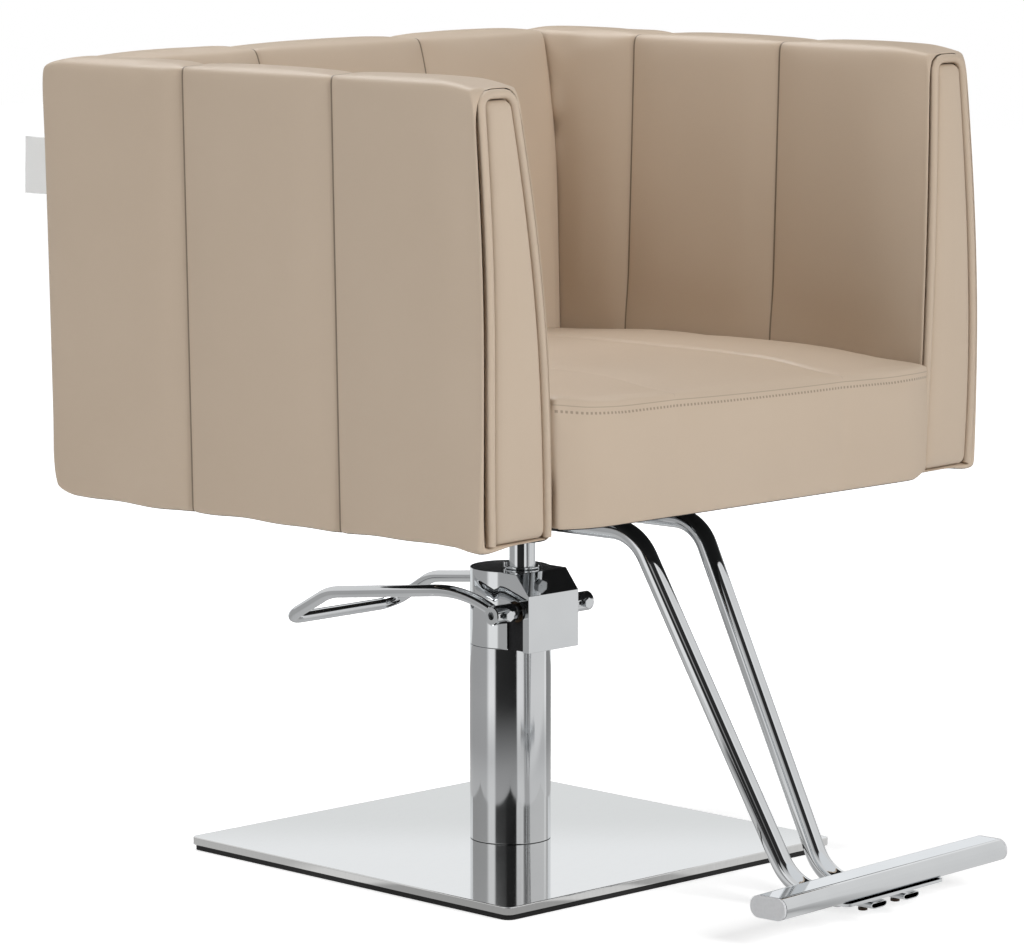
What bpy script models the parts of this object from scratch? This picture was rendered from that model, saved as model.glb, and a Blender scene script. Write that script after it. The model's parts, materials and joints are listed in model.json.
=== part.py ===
"""A hydraulic salon chair: a padded tub seat on a pump column, with a square base, a pedal and a footrest.

Metres, +Z up. The floor is z = 0, the piston rod's axis is the origin, and the chair faces -Y.
The base and pump stand turned a little from the seat, as the seat swivels on them. In the pump's
own frame the column axis is the origin, and the rod stands in front of it.
"""

import math

import bmesh
import bpy
from mathutils import Matrix, Vector

# Fits
GAP = 0.0003
RUNNING = 0.0003

# Facets
SIDES = 32
MEDIUM_SIDES = 20
SMALL_SIDES = 12
COLUMN_SIDES = 48
HEX_SIDES = 6
ARC_STEP = math.radians(15)
HEAD_STEP = math.radians(9)
PANEL_STEP = math.radians(18)

# Base plate and its rubber mat
PLATE_SIDE = 0.450
PLATE_THICK = 0.008
PLATE_CORNER = 0.009
PLATE_EDGE = 0.0012
RUBBER_THICK = 0.005
RUBBER_INSET = 0.002
BASE_TURN = math.radians(-4.4)

# Foot screws
FOOT_SCREW_CIRCLE = 0.030
FOOT_SCREW_RADIUS = 0.004
FOOT_SCREW_LENGTH = 0.011
FOOT_HEAD_RADIUS = 0.0065
FOOT_HEAD_HEIGHT = 0.004

# Column
COLUMN_RADIUS = 0.040
COLUMN_WALL = 0.0015
HEAD_SEAM = 0.2085
HEAD_HEIGHT = 0.0760
HEAD_TOP = HEAD_SEAM + HEAD_HEIGHT
HEAD_WALL = 0.0015

# Pump cylinder, piston and rod
CYLINDER_RADIUS = 0.0215
CYLINDER_CLEARANCE = 0.0006
ROD_SET = COLUMN_RADIUS - COLUMN_WALL - CYLINDER_CLEARANCE - CYLINDER_RADIUS
CYLINDER_BORE = 0.0182
CYLINDER_UNDER_SEAM = 0.0035
CYLINDER_TOP = HEAD_SEAM - CYLINDER_UNDER_SEAM
FOOT_CLEARANCE = 0.0007
FOOT_RADIUS = COLUMN_RADIUS - COLUMN_WALL - FOOT_CLEARANCE
FOOT_THICK = 0.009
FOOT_SOCKET = 0.006
PISTON_BOTTOM = 0.0300
PISTON_HEIGHT = 0.016
SEAL_WIDTH = 0.004
SEAL_DEPTH = 0.0022
ROD_RADIUS = 0.0130
SPIGOT_RADIUS = 0.008
NUT_RADIUS = 0.012
NUT_HEIGHT = 0.007
GUIDE_RADIUS = 0.0158
GUIDE_FOOT = 0.0025
GUIDE_SPIGOT = 0.008
GUIDE_CROWN_RADIUS = 0.022
GUIDE_CROWN_HEIGHT = 0.004

# Retaining ring round the rod, with its ear
RING_RADIUS = 0.0168
RING_HEIGHT = 0.0026
RING_EDGE = 0.0007
EAR_RADIUS = 0.0020
EAR_HEIGHT = 0.0058
EAR_REACH = 0.0015
EAR_DIRECTION = math.radians(133)

# Cross shaft and what it turns in
SHAFT_BEFORE_ROD = 0.0246
SHAFT_SET = ROD_SET + SHAFT_BEFORE_ROD
SHAFT_OVER_SEAM = 0.0390
SHAFT_HEIGHT = HEAD_SEAM + SHAFT_OVER_SEAM
SHAFT_RADIUS = 0.0080
SHAFT_HALF = 0.0635
BUSH_WALL = 0.0022
BUSH_FLANGE_RADIUS = 0.0113
BUSH_FLANGE_WIDTH = 0.0015
BLOCK_BEFORE_SHAFT = 0.0155
BLOCK_FRONT = SHAFT_SET + BLOCK_BEFORE_SHAFT
BLOCK_BEHIND_SHAFT = 0.027
BLOCK_BACK = SHAFT_SET - BLOCK_BEHIND_SHAFT
BLOCK_HALF_WIDTH = 0.0321
BLOCK_DECK = 0.013
LUG_WIDTH = 0.0075
LUG_OVER_SHAFT = 0.013
BLOCK_LIFT = 0.0006

# Boxed front of the pump head
BOX_HALF_WIDTH = 0.0345
BOX_BEFORE_SHAFT = 0.019
BOX_FRONT = SHAFT_SET + BOX_BEFORE_SHAFT
CHAMFER_DEPTH = 0.017
CHAMFER_HEIGHT = 0.020
SLOT_WIDTH = 0.022

# Pump cam and plunger
CAM_RADIUS = 0.0115
CAM_THROW = 0.006
CAM_WIDTH = 0.006
CAM_AT = 0.0195
PLUNGER_RADIUS = 0.0033
PLUNGER_ENGAGED = 0.008
PLUNGER_WELL = 0.011
PLUNGER_HEAD_RADIUS = 0.0047
PLUNGER_HEAD_HEIGHT = 0.002
SPRING_WIRE = 0.0005
SPRING_RADIUS = 0.0042
SPRING_TURNS = 4
SPRING_POINTS = 10
SPRING_SIDES = 6

# Foot pedal: its corners are set out from the cross shaft
PEDAL_ROD_RADIUS = 0.006
PEDAL_SIDES = 12
SLEEVE_RADIUS = 0.0097
SLEEVE_INNER = 0.0400
SLEEVE_OUTER = 0.0670
SLEEVE_END_HOLE = 0.0040
SLEEVE_EDGE = 0.001
PEDAL_ROOT_HALF = 0.0560
PEDAL_END_HALF = 0.0750
PEDAL_CREST = Vector((0, 0.049, 0.0190))
PEDAL_KNEE = Vector((0, 0.227, -0.0025))
PEDAL_TIP = Vector((0, 0.288, -0.0370))
PEDAL_CREST_BEND = 0.140
PEDAL_KNEE_BEND = 0.060
PEDAL_CORNER_BEND = 0.020
CLAMP_BOLT_AT = 0.0545
CLAMP_BOLT_RADIUS = 0.0030
CLAMP_BOLT_DEPTH = 0.0065
CLAMP_HEAD_RADIUS = 0.0058
CLAMP_HEAD_HEIGHT = 0.0045

# Footrest tubes
TUBE_RADIUS = 0.010
TUBE_WALL = 0.0015
TUBE_SIDES = 12
FOOTREST_OVER_HEAD = 0.0602
UPPER_RUN_HEIGHT = HEAD_TOP + FOOTREST_OVER_HEAD
UPPER_RUN_END = 0.070
UPPER_HALF_SPACING = 0.047
UPPER_CORNER_SET = 0.1840
UPPER_BEND = 0.045
LOWER_HALF_SPACING = 0.025
LOWER_CORNER_SET = 0.3582
LOWER_BEND = 0.048
LOWER_RUN_END = 0.4596
CRIMP_HALF_HEIGHT = 0.0050
CRIMP_SPREAD = 1.22
CRIMP_START = 0.4121
CRIMP_FADE = 0.012
CRIMP_DENT = 0.0016

# Footrest bar
BAR_LENGTH = 0.345
BAR_DEPTH = 0.041
BAR_HEIGHT = 0.021
BAR_ROUND = 0.0098
BAR_WALL = 0.0015
BAR_SET = 0.4436
BAR_CAP_THICK = 0.0025
BAR_PLUG_LENGTH = 0.012
BAR_PLATE_LENGTH = 0.150
BAR_PLATE_DEPTH = 0.036
BAR_PLATE_THICK = 0.003
BAR_PLATE_CORNER = 0.006
BAR_PLATE_BOTTOM = 0.0252
BAR_SCREW_SET = 0.4406
BAR_SCREW_RADIUS = 0.0022
BAR_SCREW_HEAD_RADIUS = 0.0045
BAR_SCREW_HEAD_HEIGHT = 0.0028

# Seat bracket, hub and bolts
BRACKET_THICK = 0.004
BRACKET_HEIGHT = 0.025
BRACKET_FRONT = 0.130
BRACKET_REAR = 0.110
WEB_HALF_WIDTH = 0.068
BRACKET_WALL_SPREAD = 0.010
FLANGE_WIDTH = 0.037
HUB_RADIUS = 0.026
HUB_FLANGE_RADIUS = 0.035
HUB_FLANGE_HEIGHT = 0.006
HUB_LENGTH = 0.042
HUB_ROOF = 0.005
HUB_EDGE = 0.002
BOLT_RADIUS = 0.004
BOLT_HEAD_RADIUS = 0.0072
BOLT_HEAD_HEIGHT = 0.005
BRACKET_BOLT_FRONT = 0.105
BRACKET_BOLT_REAR = 0.085
BRACKET_BOLT_BITE = 0.010
FOOTREST_BOLT_FRONT = 0.066
FOOTREST_BOLT_REAR = 0.052

# Seat board
SEAT_BOTTOM = UPPER_RUN_HEIGHT + TUBE_RADIUS + GAP + BRACKET_HEIGHT
BOARD_THICK = 0.015
BOARD_FRONT = 0.2556

# Padded shell: the arms and the back
SHELL_UNDER_BOARD = 0.007
SHELL_HEIGHT = 0.417
SHELL_BOTTOM = SEAT_BOTTOM - SHELL_UNDER_BOARD
SHELL_TOP = SHELL_BOTTOM + SHELL_HEIGHT
ARM_FRONT = 0.2736
SHELL_REAR = 0.2830
REAR_LEAN = 0.0075
FRONT_RAKE = 0.0143
ARM_OUTER_BOTTOM = 0.3760
ARM_OUTER_TOP = 0.3695
ARM_INNER_BOTTOM = 0.2780
ARM_INNER_TOP = 0.3110
BACK_INNER_BOTTOM = 0.1804
BACK_INNER_TOP = 0.2204
SEAM_DEPTH = 0.0060
SEAM_SUPPORT = 0.009
SEAM_SKEW = 0.020
PANEL_CROWN = 0.0035
EDGE_SUPPORT = 0.009
WALL_FOLDS = (0.2, 0.8)
ARM_SEAMS = (-0.0996, 0.0914)
BACK_SEAMS = (-0.120, 0.120)
ARM_CROWN_END = 0.166

# Front of each arm
POCKET_DEPTH = 0.012
POCKET_OUTER_LIP = 0.006
POCKET_TOP_LIP = 0.010
POCKET_INNER_LIP = 0.005
POCKET_ROUND = 0.016
PIPING_RADIUS = 0.0042
PIPING_SIDES = 8
PANEL_EDGE = 0.003
PANEL_ROUND = 0.007

# Seat cushion
CUSHION_UNDER_BOARD = 0.004
CUSHION_THICK = 0.113
CUSHION_BOTTOM = SEAT_BOTTOM - CUSHION_UNDER_BOARD
CUSHION_FRONT = 0.2836
CUSHION_EDGE_TOP = CUSHION_BOTTOM + CUSHION_THICK
CUSHION_CROWN = 0.011
CUSHION_FRONT_DROP = 0.009
CUSHION_SEAMS = (-0.092, 0.092)
CUSHION_SEAM_DEPTH = 0.003
CUSHION_FALL_LENGTH = 0.10
CUSHION_ROWS = (-0.184, -0.034, 0.096)

# Channels of the shell inside, which start above the cushion
CROWN_OVER_CUSHION = 0.008
CROWN_RISE = 0.048
CROWN_START = CUSHION_EDGE_TOP + CROWN_OVER_CUSHION
CROWN_FULL = CROWN_START + CROWN_RISE

# Sewn tag
TAG_HEIGHT = 0.054
TAG_LENGTH = 0.0255
TAG_THICK = 0.0008
TAG_UNDER_TOP = 0.103
TAG_MIDDLE = SHELL_TOP - TAG_UNDER_TOP
TAG_INSET = 0.0075

# Finishes: colour, roughness, metallic
LEATHER = ((0.47, 0.37, 0.28), 0.50, 0.0)
PIPED_LEATHER = ((0.45, 0.355, 0.27), 0.50, 0.0)
CHROME = ((0.80, 0.80, 0.80), 0.08, 1.0)
STAINLESS = ((0.62, 0.61, 0.59), 0.28, 1.0)
STEEL = ((0.45, 0.45, 0.46), 0.35, 1.0)
BLACK_STEEL = ((0.03, 0.03, 0.03), 0.45, 0.6)
CAST_IRON = ((0.05, 0.05, 0.055), 0.60, 0.7)
BRONZE = ((0.50, 0.33, 0.14), 0.35, 1.0)
RUBBER = ((0.012, 0.012, 0.012), 0.75, 0.0)
PLYWOOD = ((0.42, 0.28, 0.16), 0.70, 0.0)
GREY_PLASTIC = ((0.55, 0.55, 0.56), 0.40, 0.0)
WHITE_CLOTH = ((0.80, 0.80, 0.80), 0.85, 0.0)

for item in list(bpy.data.objects):
    bpy.data.objects.remove(item, do_unlink=True)

parts = bpy.data.collections.new("salon_chair")
cutters = bpy.data.collections.new("salon_chair_cutters")
bpy.context.scene.collection.children.link(parts)
bpy.context.scene.collection.children.link(cutters)


# Objects, groups and modifiers


def group(name, location=(0, 0, 0), turn=0.0, parent=None):
    """An empty on a joint's axis, which carries the pieces that move together."""
    empty = bpy.data.objects.new(name, None)
    empty.location = location
    empty.rotation_euler = (0, 0, turn)
    empty.parent = parent
    parts.objects.link(empty)
    return empty


def dress(item, finish, parent):
    """Puts an object in the chair, on its group, with a material of its own."""
    colour, roughness, metallic = finish
    material = bpy.data.materials.new(item.name)
    material.use_nodes = True
    shader = material.node_tree.nodes["Principled BSDF"]
    shader.inputs["Base Color"].default_value = (*colour, 1.0)
    shader.inputs["Roughness"].default_value = roughness
    shader.inputs["Metallic"].default_value = metallic
    item.data.materials.append(material)
    item.data.shade_smooth()
    item.data.set_sharp_from_angle(angle=math.radians(35))
    item.parent = parent
    parts.objects.link(item)
    return item


def solid(name, shape, finish, parent):
    """A part from a finished bmesh."""
    mesh = bpy.data.meshes.new(name)
    shape.to_mesh(mesh)
    shape.free()
    return dress(bpy.data.objects.new(name, mesh), finish, parent)


def cutter(shape, parent):
    """A helper shape that only cuts or joins its parent."""
    mesh = bpy.data.meshes.new("cutter")
    shape.to_mesh(mesh)
    shape.free()
    item = bpy.data.objects.new("cutter", mesh)
    item.parent = parent
    item.hide_render = True
    item.display_type = "WIRE"
    cutters.objects.link(item)
    return item


def combine(target, shape, operation):
    """Cuts or joins a bmesh that is placed as the target's own mesh is."""
    boolean = target.modifiers.new(operation.lower(), "BOOLEAN")
    boolean.operation = operation
    boolean.object = cutter(shape, target)


def cut(target, shape):
    """Takes a bmesh, placed as the target's own mesh is, out of the target."""
    combine(target, shape, "DIFFERENCE")


def join(target, shape):
    """Adds a bmesh, placed as the target's own mesh is, to the target."""
    combine(target, shape, "UNION")


def soften(item, width, segments=2, angle=50):
    """Rounds the sharp edges of a part."""
    bevel = item.modifiers.new("rounded", "BEVEL")
    bevel.width = width
    bevel.segments = segments
    bevel.limit_method = "ANGLE"
    bevel.angle_limit = math.radians(angle)


# Basic shapes


def box(low, high):
    """A block between two corners."""
    shape = bmesh.new()
    low = Vector(low)
    high = Vector(high)
    place = Matrix.Translation((low + high) / 2) @ Matrix.Diagonal((*(high - low), 1))
    bmesh.ops.create_cube(shape, size=1.0, matrix=place)
    return shape


def slab(half_x, front, rear, low, high, corner, steps=4):
    """A plate with rounded upright corners."""
    shape = box((-half_x, front, low), (half_x, rear, high))
    tall = (high - low) / 2
    upright = [edge for edge in shape.edges if abs(edge.verts[0].co.z - edge.verts[1].co.z) > tall]
    bmesh.ops.bevel(shape, geom=upright, offset=corner, segments=steps, profile=0.5, affect="EDGES")
    return shape


ALONG = {
    "X": Matrix.Rotation(math.pi / 2, 4, "Y"),
    "Y": Matrix.Rotation(-math.pi / 2, 4, "X"),
    "Z": Matrix.Identity(4),
}


def bar(radius, low, high, along="Z", at=(0, 0, 0), sides=SIDES):
    """A round bar from low to high along an axis through a point."""
    shape = bmesh.new()
    place = Matrix.Translation(at) @ ALONG[along] @ Matrix.Translation((0, 0, (low + high) / 2))
    bmesh.ops.create_cone(
        shape, cap_ends=True, segments=sides, radius1=radius, radius2=radius, depth=high - low, matrix=place
    )
    return shape


def turned(name, profile, finish, parent, hollow=True, sides=SIDES):
    """A (radius, height) profile turned about Z. It runs down the outer side and, if hollow, up the bore."""
    shape = bmesh.new()
    rim = [shape.verts.new((radius, 0, height)) for radius, height in profile]
    for first, second in zip(rim, rim[1:]):
        shape.edges.new((first, second))
    if hollow:
        shape.edges.new((rim[-1], rim[0]))
    item = solid(name, shape, finish, parent)
    screw = item.modifiers.new("turned", "SCREW")
    screw.steps = sides
    screw.render_steps = sides
    screw.use_merge_vertices = True
    screw.merge_threshold = 0.00001
    screw.use_smooth_shade = True
    return item


def bolt(name, head_radius, head_height, shank_radius, shank_length, finish, parent, head_sides=HEX_SIDES):
    """A bolt whose head hangs below its origin and whose shank runs up from it."""
    item = solid(name, bar(head_radius, -head_height, 0, sides=head_sides), finish, parent)
    join(item, bar(shank_radius, -head_height / 2, shank_length, sides=SMALL_SIDES))
    return item


def rounded_path(corners, radii, step=ARC_STEP):
    """Points of a bent rod: straight runs between corners, and an arc of its own radius at each inner one."""
    points = [corners[0]]
    for before, corner, after, radius in zip(corners, corners[1:], corners[2:], radii):
        into = (corner - before).normalized()
        out = (after - corner).normalized()
        angle = into.angle(out)
        start = corner - into * radius * math.tan(angle / 2)
        centre = start + (out - into * into.dot(out)).normalized() * radius
        axis = into.cross(out).normalized()
        count = max(1, round(angle / step))
        for index in range(count + 1):
            points.append(centre + Matrix.Rotation(angle * index / count, 3, axis) @ (start - centre))
    points.append(corners[-1])
    return points


def path_curve(name, points, radius, sides, caps):
    """A tube along points, as a curve."""
    data = bpy.data.curves.new(name, "CURVE")
    data.dimensions = "3D"
    data.bevel_depth = radius
    data.bevel_resolution = sides // 2 - 2
    data.use_fill_caps = caps
    spline = data.splines.new("POLY")
    spline.points.add(len(points) - 1)
    for knot, point in zip(spline.points, points):
        knot.co = (*point, 1.0)
    return bpy.data.objects.new(name, data)


def outline_curve(name, points, thickness):
    """A flat outline of (x, y) points, with its thickness centred on z = 0, as a curve."""
    data = bpy.data.curves.new(name, "CURVE")
    data.dimensions = "2D"
    data.fill_mode = "BOTH"
    data.extrude = thickness / 2
    spline = data.splines.new("POLY")
    spline.points.add(len(points) - 1)
    spline.use_cyclic_u = True
    for knot, (x, y) in zip(spline.points, points):
        knot.co = (x, y, 0.0, 1.0)
    return bpy.data.objects.new(name, data)


def shape_of(curve, place=None):
    """The closed mesh of a curve, as a bmesh. The curve itself is removed."""
    bpy.context.scene.collection.objects.link(curve)
    bpy.context.view_layer.update()
    graph = bpy.context.evaluated_depsgraph_get()
    mesh = bpy.data.meshes.new_from_object(curve.evaluated_get(graph))
    bpy.data.objects.remove(curve, do_unlink=True)
    shape = bmesh.new()
    shape.from_mesh(mesh)
    bpy.data.meshes.remove(mesh)
    bmesh.ops.remove_doubles(shape, verts=shape.verts, dist=0.000001)
    if place is not None:
        bmesh.ops.transform(shape, matrix=place, verts=shape.verts)
    bmesh.ops.recalc_face_normals(shape, faces=shape.faces)
    return shape


def ramp(value, start, width):
    """A smooth rise from 0 to 1 that starts at a value and takes a width."""
    share = min(max((value - start) / width, 0.0), 1.0)
    return share * share * (3 - 2 * share)


def oval(depth, height, radius, steps=6):
    """The outline of a flat oval, as (x, y) points."""
    points = []
    for turn, (side, level) in enumerate(((1, 1), (-1, 1), (-1, -1), (1, -1))):
        for step in range(steps + 1):
            angle = math.pi / 2 * (turn + step / steps)
            points.append((
                side * (depth / 2 - radius) + radius * math.cos(angle),
                level * (height / 2 - radius) + radius * math.sin(angle),
            ))
    return points


def cage(low, high, cuts):
    """A block cut by planes across each axis, as the coarse cage of a soft form."""
    shape = box(low, high)
    for normal, places in zip(((1, 0, 0), (0, 1, 0), (0, 0, 1)), cuts):
        for place in places:
            everything = shape.verts[:] + shape.edges[:] + shape.faces[:]
            bmesh.ops.bisect_plane(shape, geom=everything, plane_co=Vector(normal) * place, plane_no=normal)
    return shape


def pad(name, shape, finish, parent):
    """A padded part: its cage under one subdivision."""
    item = solid(name, shape, finish, parent)
    soft = item.modifiers.new("padding", "SUBSURF")
    soft.levels = 1
    soft.render_levels = 1
    return item


# Groups that move

rod_offset = Vector((0, -ROD_SET, 0))
base = group("base", location=-(Matrix.Rotation(BASE_TURN, 3, "Z") @ rod_offset), turn=BASE_TURN)
hinge = group("pedal_hinge", location=(0, -SHAFT_SET, SHAFT_HEIGHT), parent=base)
plunger_slide = group("plunger_slide", location=(CAM_AT, CAM_THROW - SHAFT_SET, 0), parent=base)
lift = group("lift")
seat = group("seat_swivel", parent=lift)

# Heights that the base sets

plate_low = RUBBER_THICK
plate_high = RUBBER_THICK + PLATE_THICK
foot_low = plate_high + GAP

# Base plate, rubber mat and foot screws

foot_spots = [
    (FOOT_SCREW_CIRCLE * math.cos(angle), FOOT_SCREW_CIRCLE * math.sin(angle))
    for angle in (math.pi / 4 + quarter * math.pi / 2 for quarter in range(4))
]
head_recess = FOOT_HEAD_HEIGHT + 2 * GAP

half = PLATE_SIDE / 2
plate = solid("base_plate", slab(half, -half, half, plate_low, plate_high, PLATE_CORNER), STAINLESS, base)
soften(plate, PLATE_EDGE)
for x, y in foot_spots:
    hole = FOOT_SCREW_RADIUS + GAP
    cut(plate, bar(hole, plate_low - GAP, plate_high + GAP, at=(x, y, 0), sides=SMALL_SIDES))
    recess = FOOT_HEAD_RADIUS + GAP
    cut(plate, bar(recess, plate_low - head_recess, plate_low + head_recess, at=(x, y, 0), sides=SMALL_SIDES))

half = PLATE_SIDE / 2 - RUBBER_INSET
solid("base_rubber", slab(half, -half, half, 0, RUBBER_THICK - GAP, PLATE_CORNER), RUBBER, base)

for number, (x, y) in enumerate(foot_spots, 1):
    screw = bolt(
        f"foot_screw_{number}",
        FOOT_HEAD_RADIUS,
        FOOT_HEAD_HEIGHT,
        FOOT_SCREW_RADIUS,
        FOOT_SCREW_LENGTH,
        STEEL,
        base,
    )
    screw.location = (x, y, plate_low + head_recess - GAP)

# Pump cylinder on its foot, the rod guide above it, the column sleeve and the head cover

cylinder = turned(
    "pump_cylinder",
    [
        (CYLINDER_RADIUS, CYLINDER_TOP),
        (CYLINDER_RADIUS, foot_low + FOOT_THICK - FOOT_SOCKET),
        (CYLINDER_BORE, foot_low + FOOT_THICK - FOOT_SOCKET),
        (CYLINDER_BORE, CYLINDER_TOP),
    ],
    STEEL,
    base,
)
cylinder.location = rod_offset
join(cylinder, bar(FOOT_RADIUS, foot_low, foot_low + FOOT_THICK, at=-rod_offset))
screw_reach = plate_low + head_recess - GAP + FOOT_SCREW_LENGTH
for x, y in foot_spots:
    hole = FOOT_SCREW_RADIUS + GAP
    cut(cylinder, bar(hole, plate_low, screw_reach + GAP, at=(x, y + ROD_SET, 0), sides=SMALL_SIDES))

guide_low = CYLINDER_TOP + GAP
guide_high = HEAD_TOP - HEAD_WALL - GAP
guide = turned(
    "rod_guide",
    [
        (GUIDE_CROWN_RADIUS, guide_high),
        (GUIDE_CROWN_RADIUS, guide_high - GUIDE_CROWN_HEIGHT),
        (GUIDE_RADIUS, guide_high - GUIDE_CROWN_HEIGHT),
        (GUIDE_RADIUS, guide_low + GUIDE_FOOT),
        (CYLINDER_RADIUS, guide_low + GUIDE_FOOT),
        (CYLINDER_RADIUS, guide_low),
        (CYLINDER_BORE - GAP, guide_low),
        (CYLINDER_BORE - GAP, guide_low - GUIDE_SPIGOT),
        (ROD_RADIUS + RUNNING, guide_low - GUIDE_SPIGOT),
        (ROD_RADIUS + RUNNING, guide_high),
    ],
    STEEL,
    base,
)
guide.location = rod_offset

turned(
    "column_sleeve",
    [
        (COLUMN_RADIUS, HEAD_SEAM - GAP),
        (COLUMN_RADIUS, foot_low),
        (COLUMN_RADIUS - COLUMN_WALL, foot_low),
        (COLUMN_RADIUS - COLUMN_WALL, HEAD_SEAM - GAP),
    ],
    CHROME,
    base,
    sides=COLUMN_SIDES,
)


def head_body(inset, low, high):
    """The pump head's round rear and boxed, chamfered front, drawn in by an inset."""
    radius = COLUMN_RADIUS - inset
    width = BOX_HALF_WIDTH - inset
    front = BOX_FRONT - inset
    start = -math.acos(width / radius)
    sweep = math.pi - 2 * start
    count = round(sweep / HEAD_STEP)
    points = [
        (radius * math.cos(start + sweep * step / count), radius * math.sin(start + sweep * step / count))
        for step in range(count + 1)
    ]
    points += [(-width, -front), (width, -front)]
    place = Matrix.Translation((0, 0, (low + high) / 2))
    shape = shape_of(outline_curve("head", points, high - low), place)
    slope = Vector((0, -CHAMFER_HEIGHT, CHAMFER_DEPTH)).normalized()
    edge = Vector((0, -BOX_FRONT, HEAD_TOP - CHAMFER_HEIGHT)) - slope * inset
    everything = shape.verts[:] + shape.edges[:] + shape.faces[:]
    made = bmesh.ops.bisect_plane(shape, geom=everything, plane_co=edge, plane_no=slope, clear_outer=True)
    rim = [part for part in made["geom_cut"] if isinstance(part, bmesh.types.BMEdge)]
    bmesh.ops.edgeloop_fill(shape, edges=rim)
    bmesh.ops.recalc_face_normals(shape, faces=shape.faces)
    return shape


cover = solid("pump_head_cover", head_body(0, HEAD_SEAM, HEAD_TOP), CHROME, base)
cut(cover, head_body(HEAD_WALL, HEAD_SEAM - HEAD_WALL, HEAD_TOP - HEAD_WALL))
cut(cover, bar(ROD_RADIUS + 2 * RUNNING, HEAD_SEAM, HEAD_TOP + HEAD_WALL, at=rod_offset))
slot_reach = 2 * BOX_HALF_WIDTH
slot_top = bar(SLOT_WIDTH / 2, -slot_reach, slot_reach, "X", (0, -SHAFT_SET, SHAFT_HEIGHT), SMALL_SIDES)
cut(cover, slot_top)
slot_low = (-slot_reach, -SHAFT_SET - SLOT_WIDTH / 2, HEAD_SEAM - HEAD_WALL)
slot_high = (slot_reach, -SHAFT_SET + SLOT_WIDTH / 2, SHAFT_HEIGHT)
cut(cover, box(slot_low, slot_high))

ring_low = HEAD_TOP + GAP
ring = turned(
    "rod_ring",
    [
        (RING_RADIUS - RING_EDGE, ring_low + RING_HEIGHT),
        (RING_RADIUS, ring_low + RING_HEIGHT - RING_EDGE),
        (RING_RADIUS, ring_low + RING_EDGE),
        (RING_RADIUS - RING_EDGE, ring_low),
        (ROD_RADIUS + RUNNING, ring_low),
        (ROD_RADIUS + RUNNING, ring_low + RING_HEIGHT),
    ],
    STEEL,
    base,
)
ring.location = rod_offset
ear_way = Vector((math.cos(EAR_DIRECTION), math.sin(EAR_DIRECTION), 0))
ear_at = (RING_RADIUS + EAR_REACH - EAR_RADIUS) * ear_way
join(ring, bar(EAR_RADIUS, ring_low + RING_EDGE, ring_low + EAR_HEIGHT, at=ear_at, sides=SMALL_SIDES))

# Pump block with its bearing lugs, and the shaft bushes

block_low = HEAD_SEAM + BLOCK_LIFT
deck = block_low + BLOCK_DECK
lug_top = SHAFT_HEIGHT + LUG_OVER_SHAFT
lug_inner = BLOCK_HALF_WIDTH - LUG_WIDTH
bush_bore = SHAFT_RADIUS + RUNNING
bush_radius = bush_bore + BUSH_WALL
block_shape = box((-BLOCK_HALF_WIDTH, -BLOCK_FRONT, block_low), (BLOCK_HALF_WIDTH, -BLOCK_BACK, lug_top))
top_edges = [
    edge
    for edge in block_shape.edges
    if min(vert.co.z for vert in edge.verts) > lug_top - GAP
    and abs(edge.verts[0].co.y - edge.verts[1].co.y) < GAP
]
bmesh.ops.bevel(block_shape, geom=top_edges, offset=LUG_OVER_SHAFT, segments=5, profile=0.5, affect="EDGES")
block = solid("pump_block", block_shape, CAST_IRON, base)
cut(block, box((-lug_inner, -2 * BLOCK_FRONT, deck), (lug_inner, 0, 2 * lug_top)))
cut(block, bar(GUIDE_RADIUS + GAP, 0, 2 * lug_top, at=rod_offset))
shaft_line = (0, -SHAFT_SET, SHAFT_HEIGHT)
cut(block, bar(bush_radius + GAP, -COLUMN_RADIUS, COLUMN_RADIUS, "X", shaft_line, MEDIUM_SIDES))
well_foot = deck - PLUNGER_WELL
well = bar(PLUNGER_RADIUS + RUNNING, well_foot, 2 * deck, at=plunger_slide.location, sides=MEDIUM_SIDES)
cut(block, well)

for name, side in (("left", -1), ("right", 1)):
    bush = turned(
        f"{name}_shaft_bush",
        [
            (bush_radius, BLOCK_HALF_WIDTH),
            (bush_radius, lug_inner - GAP),
            (BUSH_FLANGE_RADIUS, lug_inner - GAP),
            (BUSH_FLANGE_RADIUS, lug_inner - GAP - BUSH_FLANGE_WIDTH),
            (bush_bore, lug_inner - GAP - BUSH_FLANGE_WIDTH),
            (bush_bore, BLOCK_HALF_WIDTH),
        ],
        BRONZE,
        base,
        sides=MEDIUM_SIDES,
    )
    bush.location = hinge.location
    bush.rotation_euler = (0, side * math.pi / 2, 0)

# Pedal: cross shaft, cam, sleeves, clamp bolts and the bent rod

shaft_shape = bar(SHAFT_RADIUS, -SHAFT_HALF, SHAFT_HALF, "X", sides=MEDIUM_SIDES)
shaft = solid("cross_shaft", shaft_shape, STEEL, hinge)

cam_points = [
    (CAM_RADIUS * math.cos(angle) + (CAM_THROW if math.cos(angle) > 0 else 0), CAM_RADIUS * math.sin(angle))
    for angle in (math.tau * (index + 0.5) / MEDIUM_SIDES for index in range(MEDIUM_SIDES))
]
turn_to_x = Matrix.Rotation(math.pi / 2, 4, "Z") @ Matrix.Rotation(math.pi / 2, 4, "X")
cam_place = Matrix.Translation((CAM_AT, 0, 0)) @ turn_to_x
cam = solid("pump_cam", shape_of(outline_curve("cam", cam_points, CAM_WIDTH), cam_place), STEEL, hinge)
cut(cam, bar(SHAFT_RADIUS + GAP, 0, 2 * CAM_AT, "X", sides=MEDIUM_SIDES))

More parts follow.
